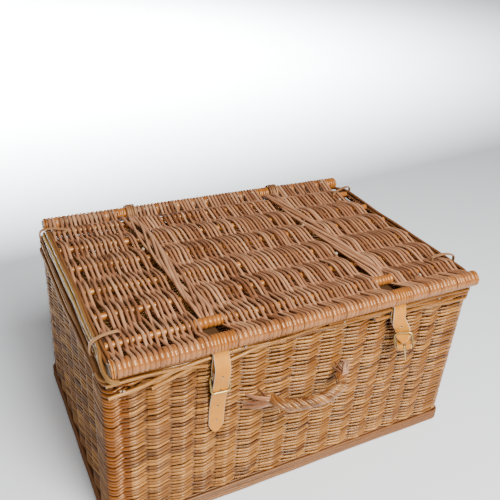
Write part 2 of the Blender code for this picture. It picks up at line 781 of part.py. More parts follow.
def make_handle():
    """A roped bow whose two ends turn in willow rings on the front wall. Its origin is on the
    line through the rings."""
    stub = 0.010
    steps = 16
    straight = 0.006
    points = [(-HANDLE_HALF_SPAN - stub, 0, 0), (-HANDLE_HALF_SPAN - 0.002, 0, 0)]
    radii = [HANDLE_END_RADIUS / HANDLE_RADIUS] * 2
    half = HANDLE_HALF_SPAN - straight
    for i in range(steps + 1):
        angle = math.pi * (1 - i / steps)
        rise = math.sin(angle)
        points.append((half * math.cos(angle), -HANDLE_BOW * rise**0.8, 0))
        radii.append((HANDLE_END_RADIUS + (HANDLE_RADIUS - HANDLE_END_RADIUS) * rise) / HANDLE_RADIUS)
    points += [(HANDLE_HALF_SPAN + 0.002, 0, 0), (HANDLE_HALF_SPAN + stub, 0, 0)]
    radii += [HANDLE_END_RADIUS / HANDLE_RADIUS] * 2
    handle = tube("handle", points, HANDLE_RADIUS, "willow", radii)
    handle.location = (HANDLE_X, HANDLE_Y, HANDLE_Z)
    for name, sign in (("left", -1), ("right", 1)):
        sides = 16
        ring = [
            (
                0,
                ROOT_RING_RADIUS * math.cos(2 * math.pi * i / sides),
                ROOT_RING_RADIUS * math.sin(2 * math.pi * i / sides),
            )
            for i in range(sides)
        ]
        root = tube(
            f"handle_root_{name}", ring, ROOT_WIRE_RADIUS, "willow_dark", cyclic=True, sides_step=1
        )
        x = HANDLE_X + sign * (HANDLE_HALF_SPAN + stub / 2)
        root.location = (x, HANDLE_Y, HANDLE_Z)


# ---- Assembly -------------------------------------------------------------------------------

make_base()
rails("foot", FOOT_PROUD, FOOT_WIDTH, 0.0, FOOT_HEIGHT, "willow", 0.003)
make_walls()
make_posts()
rails("border", BORDER_PROUD, BORDER_WIDTH, BORDER_Z, RIM_Z, "willow", 0.003)
make_sticks()
lid_bores = stick_bores()
make_lid_panels(lid_bores)
make_bands(lid_bores)
make_edge_rods()
make_corner_ties()
make_hinge_loops()
make_left_fastening()
make_right_fastening()
make_handle()
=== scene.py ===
"""The looks of the wicker picnic basket: every willow rod of the weave, the leather straps and the
brass buckles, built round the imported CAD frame. Metres, in the frame's own coordinates."""

import json
import math

import bmesh
import bpy
import numpy as np
from mathutils import Matrix, Vector


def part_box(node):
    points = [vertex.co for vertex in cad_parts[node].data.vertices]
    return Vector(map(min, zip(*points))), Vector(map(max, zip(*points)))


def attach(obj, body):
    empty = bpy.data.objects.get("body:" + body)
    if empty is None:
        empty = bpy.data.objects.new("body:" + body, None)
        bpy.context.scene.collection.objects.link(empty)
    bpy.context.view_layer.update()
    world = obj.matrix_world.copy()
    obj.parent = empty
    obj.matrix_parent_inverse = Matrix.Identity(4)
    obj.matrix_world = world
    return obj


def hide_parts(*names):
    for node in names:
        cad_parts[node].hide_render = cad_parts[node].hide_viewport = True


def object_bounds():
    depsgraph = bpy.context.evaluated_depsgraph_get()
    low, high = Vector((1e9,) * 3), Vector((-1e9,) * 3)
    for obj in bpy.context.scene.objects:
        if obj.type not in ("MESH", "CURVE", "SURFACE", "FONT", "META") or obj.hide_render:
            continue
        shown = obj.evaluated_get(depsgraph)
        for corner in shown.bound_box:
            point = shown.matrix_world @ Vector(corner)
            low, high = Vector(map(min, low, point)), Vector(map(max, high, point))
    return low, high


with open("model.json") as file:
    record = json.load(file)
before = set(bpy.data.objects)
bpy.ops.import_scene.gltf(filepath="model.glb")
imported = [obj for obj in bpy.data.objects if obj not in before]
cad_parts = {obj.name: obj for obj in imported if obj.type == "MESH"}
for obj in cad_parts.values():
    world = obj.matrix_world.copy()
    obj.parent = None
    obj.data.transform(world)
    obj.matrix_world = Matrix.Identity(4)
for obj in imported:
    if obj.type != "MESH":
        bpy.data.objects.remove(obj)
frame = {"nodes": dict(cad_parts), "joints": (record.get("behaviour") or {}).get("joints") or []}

cad_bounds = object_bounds()
rng = np.random.default_rng(11)

# ---- Sizes ----------------------------------------------------------------------------------


def centre_of(node):
    low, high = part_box(node)
    return (low + high) / 2


FRONT = centre_of("lid_stick_front")
BACK = centre_of("lid_stick_back")
AXIS_Z = FRONT.z
STICK_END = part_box("lid_stick_front")[1].x
STICK_OUTER = (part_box("lid_stick_front")[1].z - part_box("lid_stick_front")[0].z) / 2
INNER_Y = [centre_of(f"lid_stick_{i}").y for i in range(2, 8)]
INNER_SLOPES = (0.005, -0.012, -0.028, -0.028, -0.040, -0.034)

WEAVER = 0.00195  # radius of the lid's rods
INNER_STICK = 0.0044
LID_PITCH = 0.0034
TURN_PITCH = 0.0056
WRAP_DEPTH = 0.0013  # half the thickness of a rod where it is flattened round a thick stick
WRAP_RADIUS = STICK_OUTER - WRAP_DEPTH
TURN_OVERLAP = 1.03  # how much wider a turn is than its place
STICK_REACH = 0.2435  # half the length of the inner sticks, and of the weave

WALL_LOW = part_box("wall_front")[0]
FOOT_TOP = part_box("foot_front")[1].z
BORDER_LOW, BORDER_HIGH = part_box("border_front")
WEAVE_TOP = BORDER_LOW.z + 0.0055
OUTER_X = -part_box("wall_left")[0].x
OUTER_Y = -WALL_LOW.y
ROW_PITCH = 0.0027
STAKE = 0.0028
WALL_WEAVER = 0.00165  # half the height of the walls' rods
WALL_WEAVER_DEPTH = 0.0018
WALL_MIDDLE = 0.0054  # from the wall's outer face in to the stakes' centres
WALL_CORNER = 0.0088  # radius of the rods' turn round a corner
WALL_SWING = STAKE + 0.0012  # how far the rods go out and in at the stakes
CORNER_POST = 0.0045
CORNER_POST_IN = 0.0118  # from the walls' outer faces in to a corner post's centre
HIDDEN_SIZE = 1.5  # size of the back and right walls' rods beside the others'
MATT_WALL = -4.0  # gloss of the left wall
MATT_RIM = -5.0  # and of the rods of the rim and the foot above and below it
STAKE_TURN = 0.975  # nearer to 1, the rods turn more sharply at the stakes
SLANT = 0.0140  # how far the top rows drop towards the front left corner
SLANT_REACH = 0.16

ROPE_PITCH = 0.036
ROPE_STRANDS = 4
ROPE_THIN_RODS = 2  # in each strand
GAP = 0.0003
SECOND_PITCH = 0.0050  # of the turns on the second stick, which shows in the strap gaps
STRAP_X = {"left": -0.1260, "right": 0.1235}
STRAP_WIDTH = 0.019
STRAP_THICKNESS = 0.0022
STRAP_BEND = 0.0057
CHAPE_WIDTH = 0.0184
CHAPE_THICKNESS = 0.0016
FLESH_SIDE = -1  # which side of a strip's section is the rough one
HOLE_RADIUS = 0.0015
WIRE = 0.0012
BUCKLE_SPAN = 0.0224
BUCKLE_REACH = 0.0190
PRONG_LENGTH = 0.0205
PRONG_SLOT = (0.0034, 0.0120, 0.0110)

SIDES = ("front", "back", "left", "right")
FRONT_STAKES = (
    -0.2235, -0.1967, -0.1650, -0.1370, -0.1080, -0.0765, -0.0390, -0.0020,
    0.0340, 0.0700, 0.1030, 0.1340, 0.1640, 0.1930, 0.2240,
)
SIDE_STAKES = (-0.1300, -0.0960, -0.0590, -0.0200, 0.0190, 0.0570, 0.0940, 0.1290)


# ---- Rods -----------------------------------------------------------------------------------


def unit(vectors):
    """The vectors at length 1."""
    return vectors / np.maximum(np.linalg.norm(vectors, axis=-1, keepdims=True), 1e-12)


def lengths_along(points):
    """How far each point of an open line is from its start."""
    return np.concatenate([[0], np.cumsum(np.linalg.norm(np.diff(points, axis=0), axis=1))])


def points_at(line, along, places):
    """The points at these places along a line."""
    return np.stack([np.interp(places, along, line[:, i]) for i in range(line.shape[1])], 1)


class Bundle:
    """Many rods gathered into one mesh. Each carries its own tone and its own straightened
    coordinates, for the materials to read."""

    def __init__(self):
        self.points = []
        self.coords = []
        self.corners = []
        self.sizes = []
        self.tones = []
        self.cuts = []
        self.glosses = []
        self.total = 0

    def rod(
        self,
        path,
        width,
        depth=None,
        side=(1.0, 0.0, 0.0),
        tone=None,
        gloss=0.0,
        sides=8,
        loop=False,
        section=None,
        edges=0.0,
    ):
        """A rod along the path. width and depth are its half sizes along side and across it, and
        section is its outline in those sizes, which is round unless given. edges marks the
        outline's cut faces."""
        path = np.asarray(path, float)
        n = len(path)
        width = np.broadcast_to(np.asarray(width, float), (n,))
        depth = width if depth is None else np.broadcast_to(np.asarray(depth, float), (n,))
        if loop:
            tangent = unit(np.roll(path, -1, 0) - np.roll(path, 1, 0))
        else:
            tangent = unit(np.gradient(path, axis=0))
        along = lengths_along(path)
        side = np.broadcast_to(np.asarray(side, float), (n, 3))
        across = unit(side - tangent * (side * tangent).sum(1, keepdims=True))
        out = np.cross(tangent, across)
        if section is None:
            angle = np.arange(sides) * 2 * np.pi / sides
            cos, sin = np.cos(angle), np.sin(angle)
        else:
            cos, sin = np.asarray(section, float).T
            sides = len(cos)
        ring = (
            across[:, None] * (width[:, None] * cos)[..., None]
            + out[:, None] * (depth[:, None] * sin)[..., None]
        )
        self.points.append((path[:, None] + ring).reshape(-1, 3))
        coords = np.empty((n, sides, 3))
        coords[..., 0] = width[:, None] * cos
        coords[..., 1] = depth[:, None] * sin
        coords[..., 2] = along[:, None]
        self.coords.append(coords.reshape(-1, 3))
        rows = n if loop else n - 1
        i = np.arange(rows)[:, None]
        k = np.arange(sides)[None]
        j = (i + 1) % n
        k2 = (k + 1) % sides
        quads = np.stack(
            [i * sides + k, i * sides + k2, j * sides + k2, j * sides + k], -1
        ).reshape(-1, 4)
        self.corners.append((quads + self.total).reshape(-1))
        self.sizes.append(np.full(len(quads), 4))
        tone = rng.random() if tone is None else tone
        tones = np.broadcast_to(np.asarray(tone, float), (rows,))
        glosses = np.broadcast_to(np.asarray(gloss, float), (rows,))
        self.tones.append(np.repeat(tones, sides))
        self.glosses.append(np.repeat(glosses, sides))
        self.cuts.append(np.tile(np.broadcast_to(np.asarray(edges, float), (sides,)), rows))
        if not loop:
            ends = np.stack([np.arange(sides)[::-1], (n - 1) * sides + np.arange(sides)])
            self.corners.append((ends + self.total).reshape(-1))
            self.sizes.append(np.full(2, sides))
            self.tones.append(tones[[0, -1]])
            self.glosses.append(glosses[[0, -1]])
            self.cuts.append(np.ones(2))
        self.total += n * sides

    def piece(self, name, body, material, slot, *nodes):
        """The mesh object of all the rods so far, riding on the body in place of the nodes."""
        mesh = bpy.data.meshes.new(name)
        points = np.concatenate(self.points)
        corners = np.concatenate(self.corners)
        sizes = np.concatenate(self.sizes)
        mesh.vertices.add(len(points))
        mesh.vertices.foreach_set("co", points.astype(np.float32).ravel())
        mesh.loops.add(len(corners))
        mesh.loops.foreach_set("vertex_index", corners.astype(np.int32))
        mesh.polygons.add(len(sizes))
        starts = np.concatenate([[0], np.cumsum(sizes)[:-1]])
        mesh.polygons.foreach_set("loop_start", starts.astype(np.int32))
        mesh.update(calc_edges=True)
        for label, values in (("tone", self.tones), ("cut", self.cuts), ("gloss", self.glosses)):
            attribute = mesh.attributes.new(label, "FLOAT", "FACE")
            attribute.data.foreach_set("value", np.concatenate(values).astype(np.float32))
        attribute = mesh.attributes.new("rod", "FLOAT_VECTOR", "POINT")
        attribute.data.foreach_set("vector", np.concatenate(self.coords).astype(np.float32).ravel())
        mesh.shade_smooth()
        mesh.set_sharp_from_angle(angle=math.radians(62))
        return settle(bpy.data.objects.new(name, mesh), body, material, slot, *nodes)


def settle(obj, body, material, slot, *nodes):
    """Puts the object in the scene with its material, riding on its body."""
    if obj.name not in bpy.context.scene.collection.objects:
        bpy.context.scene.collection.objects.link(obj)
    obj.data.materials.clear()
    obj.data.materials.append(material)
    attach(obj, body)
    if nodes:
        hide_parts(*nodes)
    return obj


def waves(seed, count, shortest, longest, size):
    """A smooth random field of two coordinates, of about this size."""
    local = np.random.default_rng(seed)
    turns = local.random(count) * 2 * np.pi
    lengths = local.uniform(shortest, longest, count)
    phases = local.random(count) * 2 * np.pi

    def field(u, v):
        total = 0.0
        for turn, length, phase in zip(turns, lengths, phases, strict=True):
            total = total + np.sin(
                (u * math.cos(turn) + v * math.sin(turn)) * 2 * np.pi / length + phase
            )
        return total * size / math.sqrt(count)

    return field


def spaced(low, high, pitch, wobble):
    """Places from low to high, about a pitch apart, the steps varying by this share."""
    count = max(2, round((high - low) / pitch))
    steps = 1 + wobble * rng.uniform(-1, 1, count)
    places = np.concatenate([[0], np.cumsum(steps)])
    places = low + (high - low) * places / places[-1]
    return (places[:-1] + places[1:]) / 2, np.diff(places)


# ---- Materials ------------------------------------------------------------------------------

GLOSSY_DARK = (0.150, 0.040, 0.006)
GLOSSY_MIDDLE = (0.270, 0.082, 0.010)
GLOSSY_LIGHT = (0.390, 0.148, 0.025)


class Shader:
    """A material's nodes, added one at a time."""

    def __init__(self, name):
        self.material = bpy.data.materials.new(name)
        self.material.use_nodes = True
        self.tree = self.material.node_tree
        self.base = self.tree.nodes["Principled BSDF"]

    def add(self, kind, inputs=(), **settings):
        node = self.tree.nodes.new(kind)
        for key, value in settings.items():
            setattr(node, key, value)
        for key, value in dict(inputs).items():
            self.feed(node.inputs[key], value)
        return node

    def feed(self, socket, value):
        if isinstance(value, bpy.types.NodeSocket):
            self.tree.links.new(value, socket)
        else:
            socket.default_value = value

    def noise(self, vector, scale, detail=3.0, rough=0.55):
        node = self.add(
            "ShaderNodeTexNoise",
            {"Vector": vector, "Scale": scale, "Detail": detail, "Roughness": rough},
        )
        return node.outputs["Fac"]

    def ramp(self, value, stops):
        node = self.add("ShaderNodeValToRGB", {"Fac": value})
        elements = node.color_ramp.elements
        while len(elements) < len(stops):
            elements.new(0.5)
        for element, (place, colour) in zip(elements, stops, strict=True):
            element.position = place
            element.color = (*colour, 1.0)
        return node.outputs["Color"]

    def span(self, value, low, high, to_low=0.0, to_high=1.0):
        node = self.add(
            "ShaderNodeMapRange",
            {"Value": value, "From Min": low, "From Max": high, "To Min": to_low, "To Max": to_high},
        )
        return node.outputs["Result"]

    def math(self, operation, a, b=0.0):
        node = self.add("ShaderNodeMath", {0: a, 1: b}, operation=operation)
        return node.outputs[0]

    def mix(self, share, a, b):
        node = self.add("ShaderNodeMix", data_type="RGBA")
        colours = [s for s in node.inputs if s.type == "RGBA"]
        self.feed(node.inputs[0], share)
        for socket, value in zip(colours, (a, b), strict=True):
            self.feed(socket, (*value, 1.0) if isinstance(value, tuple) else value)
        return next(s for s in node.outputs if s.type == "RGBA")

    def attribute(self, name, output="Fac"):
        return self.add("ShaderNodeAttribute", attribute_name=name).outputs[output]

    def stretched(self, vector, scale, shift=None):
        node = self.add("ShaderNodeMapping", {"Vector": vector, "Scale": scale})
        if shift is not None:
            self.feed(node.inputs["Location"], shift)
        return node.outputs["Vector"]

    def bump(self, height, strength, distance):
        node = self.add(
            "ShaderNodeBump", {"Height": height, "Strength": strength, "Distance": distance}
        )
        self.feed(self.base.inputs["Normal"], node.outputs["Normal"])

    def place(self):
        return self.add("ShaderNodeTexCoord").outputs["Object"]


def willow(name, dark, middle, light, roughness, stain=0.35, stain_colour=None, shine=0.8):
    """Peeled and varnished willow: each rod its own tone, with grain along it, stains that run
    across the rods, and greyer cut ends. A tone below zero is nearly black, as painted shade for
    what lies deep in the weave. Where gloss is set the willow is more golden and shinier, and below
    zero it is matt."""
    s = Shader(name)
    tone = s.attribute("tone")
    gloss = s.attribute("gloss")
    rod = s.attribute("rod", "Vector")
    spread = s.math("MULTIPLY", tone, 3.7)
    shift = s.add("ShaderNodeCombineXYZ", {"X": spread, "Y": spread, "Z": spread}).outputs[0]
    grain = s.noise(s.stretched(rod, (1.0, 1.0, 0.05), shift), 1500.0, 4.0, 0.6)
    patches = s.noise(s.stretched(rod, (0.4, 0.4, 1.0), shift), 60.0, 3.0)
    colour = s.ramp(tone, ((0.0, dark), (0.45, middle), (1.0, light)))
    colour = s.mix(s.span(patches, 0.35, 0.7, 0.0, 0.5), colour, middle)
    golden = s.mix(s.span(patches, 0.35, 0.7, 0.0, 0.4), GLOSSY_MIDDLE, GLOSSY_LIGHT)
    golden = s.mix(s.span(tone, 0.0, 0.6, 0.75, 0.0), golden, GLOSSY_DARK)
    colour = s.mix(s.math("MULTIPLY", gloss, 0.85), colour, golden)
    colour = s.mix(s.span(grain, 0.42, 0.72, 0.0, 0.5), colour, dark)
    place = s.place()
    blotches = s.noise(place, 26.0, 4.0, 0.62)
    stain_colour = stain_colour or tuple(0.55 * c for c in dark)
    colour = s.mix(s.span(blotches, 0.55, 0.78, 0.0, stain), colour, stain_colour)
    # Painted shade: a tone below zero mixes towards nearly black, for the rods that lie deep in the weave.
    colour = s.mix(s.span(tone, -0.6, 0.0, 0.85, 0.0), colour, (0.020, 0.008, 0.003))
    cut = s.attribute("cut")
    end = s.ramp(s.noise(rod, 900.0), ((0.3, (0.17, 0.13, 0.09)), (0.7, (0.38, 0.31, 0.24))))
    colour = s.mix(cut, colour, end)
    s.feed(s.base.inputs["Base Color"], colour)
    rough = s.span(grain, 0.3, 0.8, roughness, roughness + 0.14)
    rough = s.math("ADD", rough, s.math("MULTIPLY", cut, 0.5))
    s.feed(s.base.inputs["Roughness"], s.math("SUBTRACT", rough, s.math("MULTIPLY", gloss, 0.09)))
    s.base.inputs["Specular IOR Level"].default_value = shine
    s.base.inputs["Specular Tint"].default_value = (1.0, 0.78, 0.50, 1.0)
    s.bump(s.math("ADD", grain, s.math("MULTIPLY", patches, 1.5)), 0.35, 0.0004)
    return s.material


def leather(name):
    """Natural tan leather: fine pores, soft mottling, pale raw edges, and painted shade, nearly black,
    on the part that lies inside the rim."""
    s = Shader(name)
    place = s.place()
    pores = s.noise(place, 2600.0, 2.0)
    mottle = s.noise(place, 95.0, 5.0, 0.6)
    broad = s.noise(place, 22.0, 3.0)
    tans = ((0.3, (0.42, 0.145, 0.010)), (0.5, (0.48, 0.182, 0.015)), (0.75, (0.55, 0.225, 0.030)))
    colour = s.ramp(mottle, tans)
    colour = s.mix(s.span(broad, 0.45, 0.7, 0.0, 0.4), colour, (0.52, 0.23, 0.04))
    depth = s.add("ShaderNodeSeparateXYZ", {"Vector": place}).outputs["Y"]
    edge = s.attribute("cut")
    raw = s.ramp(s.noise(place, 700.0), ((0.3, (0.38, 0.29, 0.20)), (0.7, (0.60, 0.49, 0.37))))
    colour = s.mix(edge, colour, raw)
    # Painted shade: nearly black where the leather lies inside the rim, from Y -0.166 to -0.160 inwards.
    colour = s.mix(s.span(depth, -0.166, -0.160, 0.0, 0.93), colour, (0.030, 0.018, 0.012))
    s.feed(s.base.inputs["Base Color"], colour)
    rough = s.math("ADD", mottle, s.math("MULTIPLY", edge, 0.7))
    s.feed(s.base.inputs["Roughness"], s.span(rough, 0.3, 1.2, 0.36, 0.85))
    s.base.inputs["Specular IOR Level"].default_value = 0.25
    s.base.inputs["Specular Tint"].default_value = (1.0, 0.8, 0.5, 1.0)
    s.bump(s.math("ADD", s.math("MULTIPLY", pores, 0.5), mottle), 0.3, 0.0003)
    return s.material


def brass(name):
    """Polished brass, tarnished in patches, with fine scratches."""
    s = Shader(name)
    place = s.place()
    tarnish = s.noise(place, 220.0, 5.0, 0.65)
    scratch = s.noise(s.stretched(place, (1.0, 1.0, 0.15)), 2600.0, 2.0)
    colour = s.ramp(
        tarnish, ((0.35, (0.52, 0.40, 0.17)), (0.6, (0.42, 0.30, 0.11)), (0.8, (0.16, 0.11, 0.05)))
    )
    s.feed(s.base.inputs["Base Color"], colour)
    s.base.inputs["Metallic"].default_value = 1.0
    s.feed(s.base.inputs["Roughness"], s.span(tarnish, 0.3, 0.8, 0.22, 0.5))
    s.bump(s.math("ADD", scratch, tarnish), 0.2, 0.0002)
    return s.material


LID_WILLOW = willow(
    "lid_willow", (0.130, 0.044, 0.017), (0.350, 0.158, 0.078), (0.550, 0.305, 0.165), 0.24
)
BODY_WILLOW = willow(
    "body_willow", (0.060, 0.017, 0.004), (0.205, 0.074, 0.013), (0.430, 0.190, 0.040), 0.20,
    stain=0.6, stain_colour=(0.10, 0.028, 0.009), shine=0.6,
)
STAKE_WILLOW = willow(
    "stake_willow", (0.070, 0.020, 0.005), (0.150, 0.050, 0.013), (0.260, 0.100, 0.028), 0.42
)
WRAP_WILLOW = willow(
    "wrap_willow", (0.20, 0.056, 0.010), (0.42, 0.155, 0.030), (0.58, 0.270, 0.065), 0.30
)
TIE_WILLOW = willow(
    "tie_willow", (0.10, 0.036, 0.012), (0.20, 0.085, 0.032), (0.32, 0.165, 0.070), 0.40
)
EDGE_WILLOW = willow(
    "edge_willow", (0.05, 0.015, 0.005), (0.17, 0.065, 0.020), (0.33, 0.200, 0.040), 0.40, shine=0.3
)
HANDLE_WILLOW = willow(
    "handle_willow", (0.06, 0.018, 0.006), (0.21, 0.080, 0.022), (0.42, 0.220, 0.085), 0.24,
    stain=0.7, stain_colour=(0.36, 0.29, 0.24),
)
ROOT_WILLOW = willow(
    "root_willow", (0.055, 0.013, 0.006), (0.24, 0.065, 0.012), (0.38, 0.230, 0.150), 0.42,
    stain=0.5, stain_colour=(0.30, 0.24, 0.20),
)
SAWN = willow("sawn_willow", (0.14, 0.075, 0.040), (0.26, 0.15, 0.09), (0.36, 0.23, 0.14), 0.6)
LEATHER = leather("tan_leather")
BRASS = brass("pale_brass")


# ---- Lid ------------------------------------------------------------------------------------

LID_SWAY = waves(3, 7, 0.060, 0.190, 0.0011)
LID_LEAN = waves(4, 5, 0.130, 0.300, 0.0016)


def stations(x):
    """The Y of each of the lid's sticks at this X."""
    inner = (y + slope * x for y, slope in zip(INNER_Y, INNER_SLOPES, strict=True))
    return [FRONT.y, *inner, BACK.y]


def turn_points(axis_y, start, end, x, drift, steps=14):
    """Points round a thick stick from one angle to another, in degrees from +Y towards +Z."""
    angle = np.radians(np.linspace(start, end, steps))
    share = (np.degrees(angle) % 360) / 360
    return np.stack(
        [
            x + drift * (share - 0.4),
            axis_y + WRAP_RADIUS * np.cos(angle),
            AXIS_Z + WRAP_RADIUS * np.sin(angle),
        ],
        1,
    )


def smooth(points, per_span):
    """A Catmull-Rom curve through the points."""
    p = np.asarray(points, float)
    p = np.concatenate([[2 * p[0] - p[1]], p, [2 * p[-1] - p[-2]]])
    t = np.linspace(0, 1, per_span, endpoint=False)[:, None]
    parts = []
    for a, b, c, d in zip(p, p[1:], p[2:], p[3:], strict=False):
        square = (2 * a - 5 * b + 4 * c - d) * t**2
        cube = (3 * b - a - 3 * c + d) * t**3
        parts.append(0.5 * (2 * b + (c - a) * t + square + cube))
    return np.concatenate([*parts, p[-2:-1]])


def lid_weaver(bundle, x_front, x_back, parity, width):
    """One rod of the lid, over and under the inner sticks and turned once round each thick one."""
    radius = WEAVER * rng.uniform(0.84, 1.12)
    lift = INNER_STICK + radius
    lines = stations((x_front + x_back) / 2)
    sway = rng.normal(0, 0.0005, len(lines) * 2)
    controls = []
    for k, (y0, y1) in enumerate(zip(lines[1:-2], lines[2:-1], strict=True), start=1):
        for half in (0, 1):
            y = y0 + (y1 - y0) * half / 2
            height = lift * math.cos(math.pi * (k + half / 2 + parity))
            controls.append((y, height, sway[2 * k + half]))
    last = len(lines) - 2
    controls.append((lines[-2], lift * math.cos(math.pi * (last + parity)), sway[2 * last]))
    path = []
    for y, height, shift in controls:
        share = (y - FRONT.y) / (BACK.y - FRONT.y)
        x = x_front + (x_back - x_front) * share + shift
        x += LID_SWAY(x, y) + LID_LEAN(x, y)
        path.append((x, y, AXIS_Z + height))
    path = smooth(path, 5)
    over_front = parity == 0
    over_back = (last + 1 + parity) % 2 == 0
    drift = rng.uniform(0.0004, 0.0026)
    if over_front:
        front = turn_points(FRONT.y, 318, 72, x_front, drift)
    else:
        front = turn_points(FRONT.y, 262, 290, x_front, 0.0, 4)
    if over_back:
        back = turn_points(BACK.y, 108, -138, x_back, drift)
    else:
        back = turn_points(BACK.y, -110, -82, x_back, 0.0, 4)
    whole = np.concatenate([front, path, back])
    flat = np.zeros(len(whole))
    if over_front:
        flat[: len(front) - 2] = 1
    if over_back:
        flat[2 - len(back) :] = 1
    flat = np.convolve(np.pad(flat, 2, mode="edge"), np.ones(5) / 5, mode="valid")
    wide = radius * (1 - flat) + width / 2 * TURN_OVERLAP * flat
    deep = radius * (1 - flat) + WRAP_DEPTH * flat
    tone = np.clip(rng.normal(0.5, 0.26), 0, 1)
    tones = np.clip(tone + 0.22 * flat, 0, 1)[:-1]
    bundle.rod(whole, wide, deep, tone=tones, gloss=flat[:-1])


def fill_turns(bundle, axis, low, high, places):
    """Lays turns side by side along a thick stick. Each rod at these places gets the nearest one,
    and rings fill the others. Returns where each rod's own turn goes and how wide it is."""
    centres, widths = spaced(low, high, TURN_PITCH, 0.22)
    free = list(range(len(centres)))
    own = {}
    for x in places:
        nearest = min(free, key=lambda i: abs(centres[i] - x))
        free.remove(nearest)
        own[x] = (centres[nearest], widths[nearest])
    for i in free:
        tone = np.clip(rng.normal(0.6, 0.25), 0, 1)
        place = (centres[i], axis.y, AXIS_Z)
        half = widths[i] / 2 * TURN_OVERLAP
        ring(bundle, place, WRAP_RADIUS, half, WRAP_DEPTH, tone, rng.uniform(0.0002, 0.0012))
    return own


def lid_panels():
    """The three woven panels. Each is given by its ends' places along the front and back sticks."""
    for name, front, back, pitch in (
        ("left", (-STICK_REACH, -0.1375), (-STICK_REACH, -0.1460), LID_PITCH * 1.03),
        ("centre", (-0.1085, 0.1085), (-0.1180, 0.0930), LID_PITCH * 0.98),
        ("right", (0.1365, 0.2420), (0.1190, 0.2300), LID_PITCH),
    ):
        bundle = Bundle()
        pairs = max(2, round((front[1] - front[0]) / pitch / 2))
        front_x, front_widths = spaced(*front, (front[1] - front[0]) / pairs, 0.26)
        back_x, back_widths = spaced(*back, (back[1] - back[0]) / pairs, 0.26)
        front_own = fill_turns(bundle, FRONT, *front, front_x)
        back_own = fill_turns(bundle, BACK, *back, back_x)
        for i in range(pairs):
            x, width = front_own[front_x[i]]
            x_back = back_x[i] - back_widths[i] * 0.28
            lid_weaver(bundle, x, x_back, 0, width)
            x_front = front_x[i] + front_widths[i] * 0.28 + 0.0008
            x, width = back_own[back_x[i]]
            lid_weaver(bundle, x_front, x, 1, width)
        bundle.piece(f"lid_rods_{name}", "lid", LID_WILLOW, "lid_willow", f"lid_weave_{name}")


def lid_sticks():
    """The six inner sticks, and the cores of the two thick ones with their sawn ends."""
    sticks = Bundle()
    for y, slope in zip(INNER_Y, INNER_SLOPES, strict=True):
        x = np.linspace(-STICK_REACH, STICK_REACH, 60)
        bend = waves(int(1e4 * (y + 1)), 4, 0.1, 0.3, 0.0005)
        path = np.stack([x, y + slope * x + bend(x, 0), AXIS_Z + bend(x, 1)], 1)
        thick = INNER_STICK * (1 + 0.05 * np.sin(x * 90 + y * 50))
        sticks.rod(path, thick, side=(0, 1, 0), tone=rng.uniform(0.3, 0.8), gloss=0.8, sides=10)
    nodes = [f"lid_stick_{i}" for i in range(2, 8)]
    sticks.piece("lid_inner_sticks", "lid", WRAP_WILLOW, "lid_willow", *nodes)
    for name, axis in (("front", FRONT), ("back", BACK)):
        core = Bundle()
        x = np.linspace(-STICK_END, STICK_END, 80)
        path = np.stack([x, np.full_like(x, axis.y), np.full_like(x, AXIS_Z)], 1)
        radius = WRAP_RADIUS - 0.75 * WRAP_DEPTH
        radius = radius * (1 - 0.04 * np.clip((np.abs(x) - STICK_END + 0.002) / 0.002, 0, 1))
        core.rod(path, radius, side=(0, 1, 0), tone=0.1, sides=20)
        core.piece(f"lid_core_{name}", "lid", SAWN, "stick_wrap", f"lid_stick_{name}")


def ring(bundle, centre, radius, width, depth, tone, slant=0.0006):
    """One closed turn of a rod round a stick that runs along X."""
    angle = np.arange(26) * 2 * np.pi / 26
    path = np.stack(
        [
            centre[0] + slant * np.cos(angle + 0.6),
            centre[1] + radius * np.cos(angle),
            centre[2] + radius * np.sin(angle),
        ],
        1,
    )
    bundle.rod(path, width, depth, tone=tone, gloss=1.0, loop=True)


def lid_wraps():
    """The turns round the thick sticks between and beside the panels."""
    spans_of = {
        "front": (
            (-0.2485, -0.2440, 0.0045), (-0.1373, -0.1087, 0.0041),
            (0.1087, 0.1363, 0.0040), (0.2424, 0.2490, 0.0042),
        ),
        "back": (
            (-0.2485, -0.2440, 0.0045), (-0.1458, -0.1182, 0.0036),
            (0.0932, 0.1188, 0.0036), (0.2304, 0.2490, 0.0040),
        ),
    }
    for name, axis in (("front", FRONT), ("back", BACK)):
        bundle = Bundle()
        for low, high, pitch in spans_of[name]:
            for x, width in zip(*spaced(low, high, pitch, 0.2), strict=True):
                tone = np.clip(rng.normal(0.6, 0.2), 0, 1)
                slant = rng.uniform(0.0002, 0.0013)
                place = (x, axis.y, AXIS_Z)
                ring(bundle, place, WRAP_RADIUS, width / 2 * 1.04, WRAP_DEPTH, tone, slant)
        bundle.piece(f"lid_wraps_{name}", "lid", WRAP_WILLOW, "stick_wrap")
    bundle = Bundle()
    for low, high in ((-0.1420, -0.1060), (0.1060, 0.1400)):
        for x, width in zip(*spaced(low, high, SECOND_PITCH, 0.25), strict=True):
            place = (x, INNER_Y[0] + INNER_SLOPES[0] * x, AXIS_Z)
            tone = rng.uniform(0.4, 0.9)
            ring(bundle, place, INNER_STICK + 0.0011, width / 2 * 1.05, WRAP_DEPTH, tone)
    bundle.piece("lid_wraps_second", "lid", WRAP_WILLOW, "stick_wrap")


def band_line(side, y):
    """The X of the middle of a band at this Y."""
    share = (y - FRONT.y) / (BACK.y - FRONT.y)
    return np.where(side < 0, -0.1225 - 0.0098 * share, 0.1225 - 0.0165 * share)


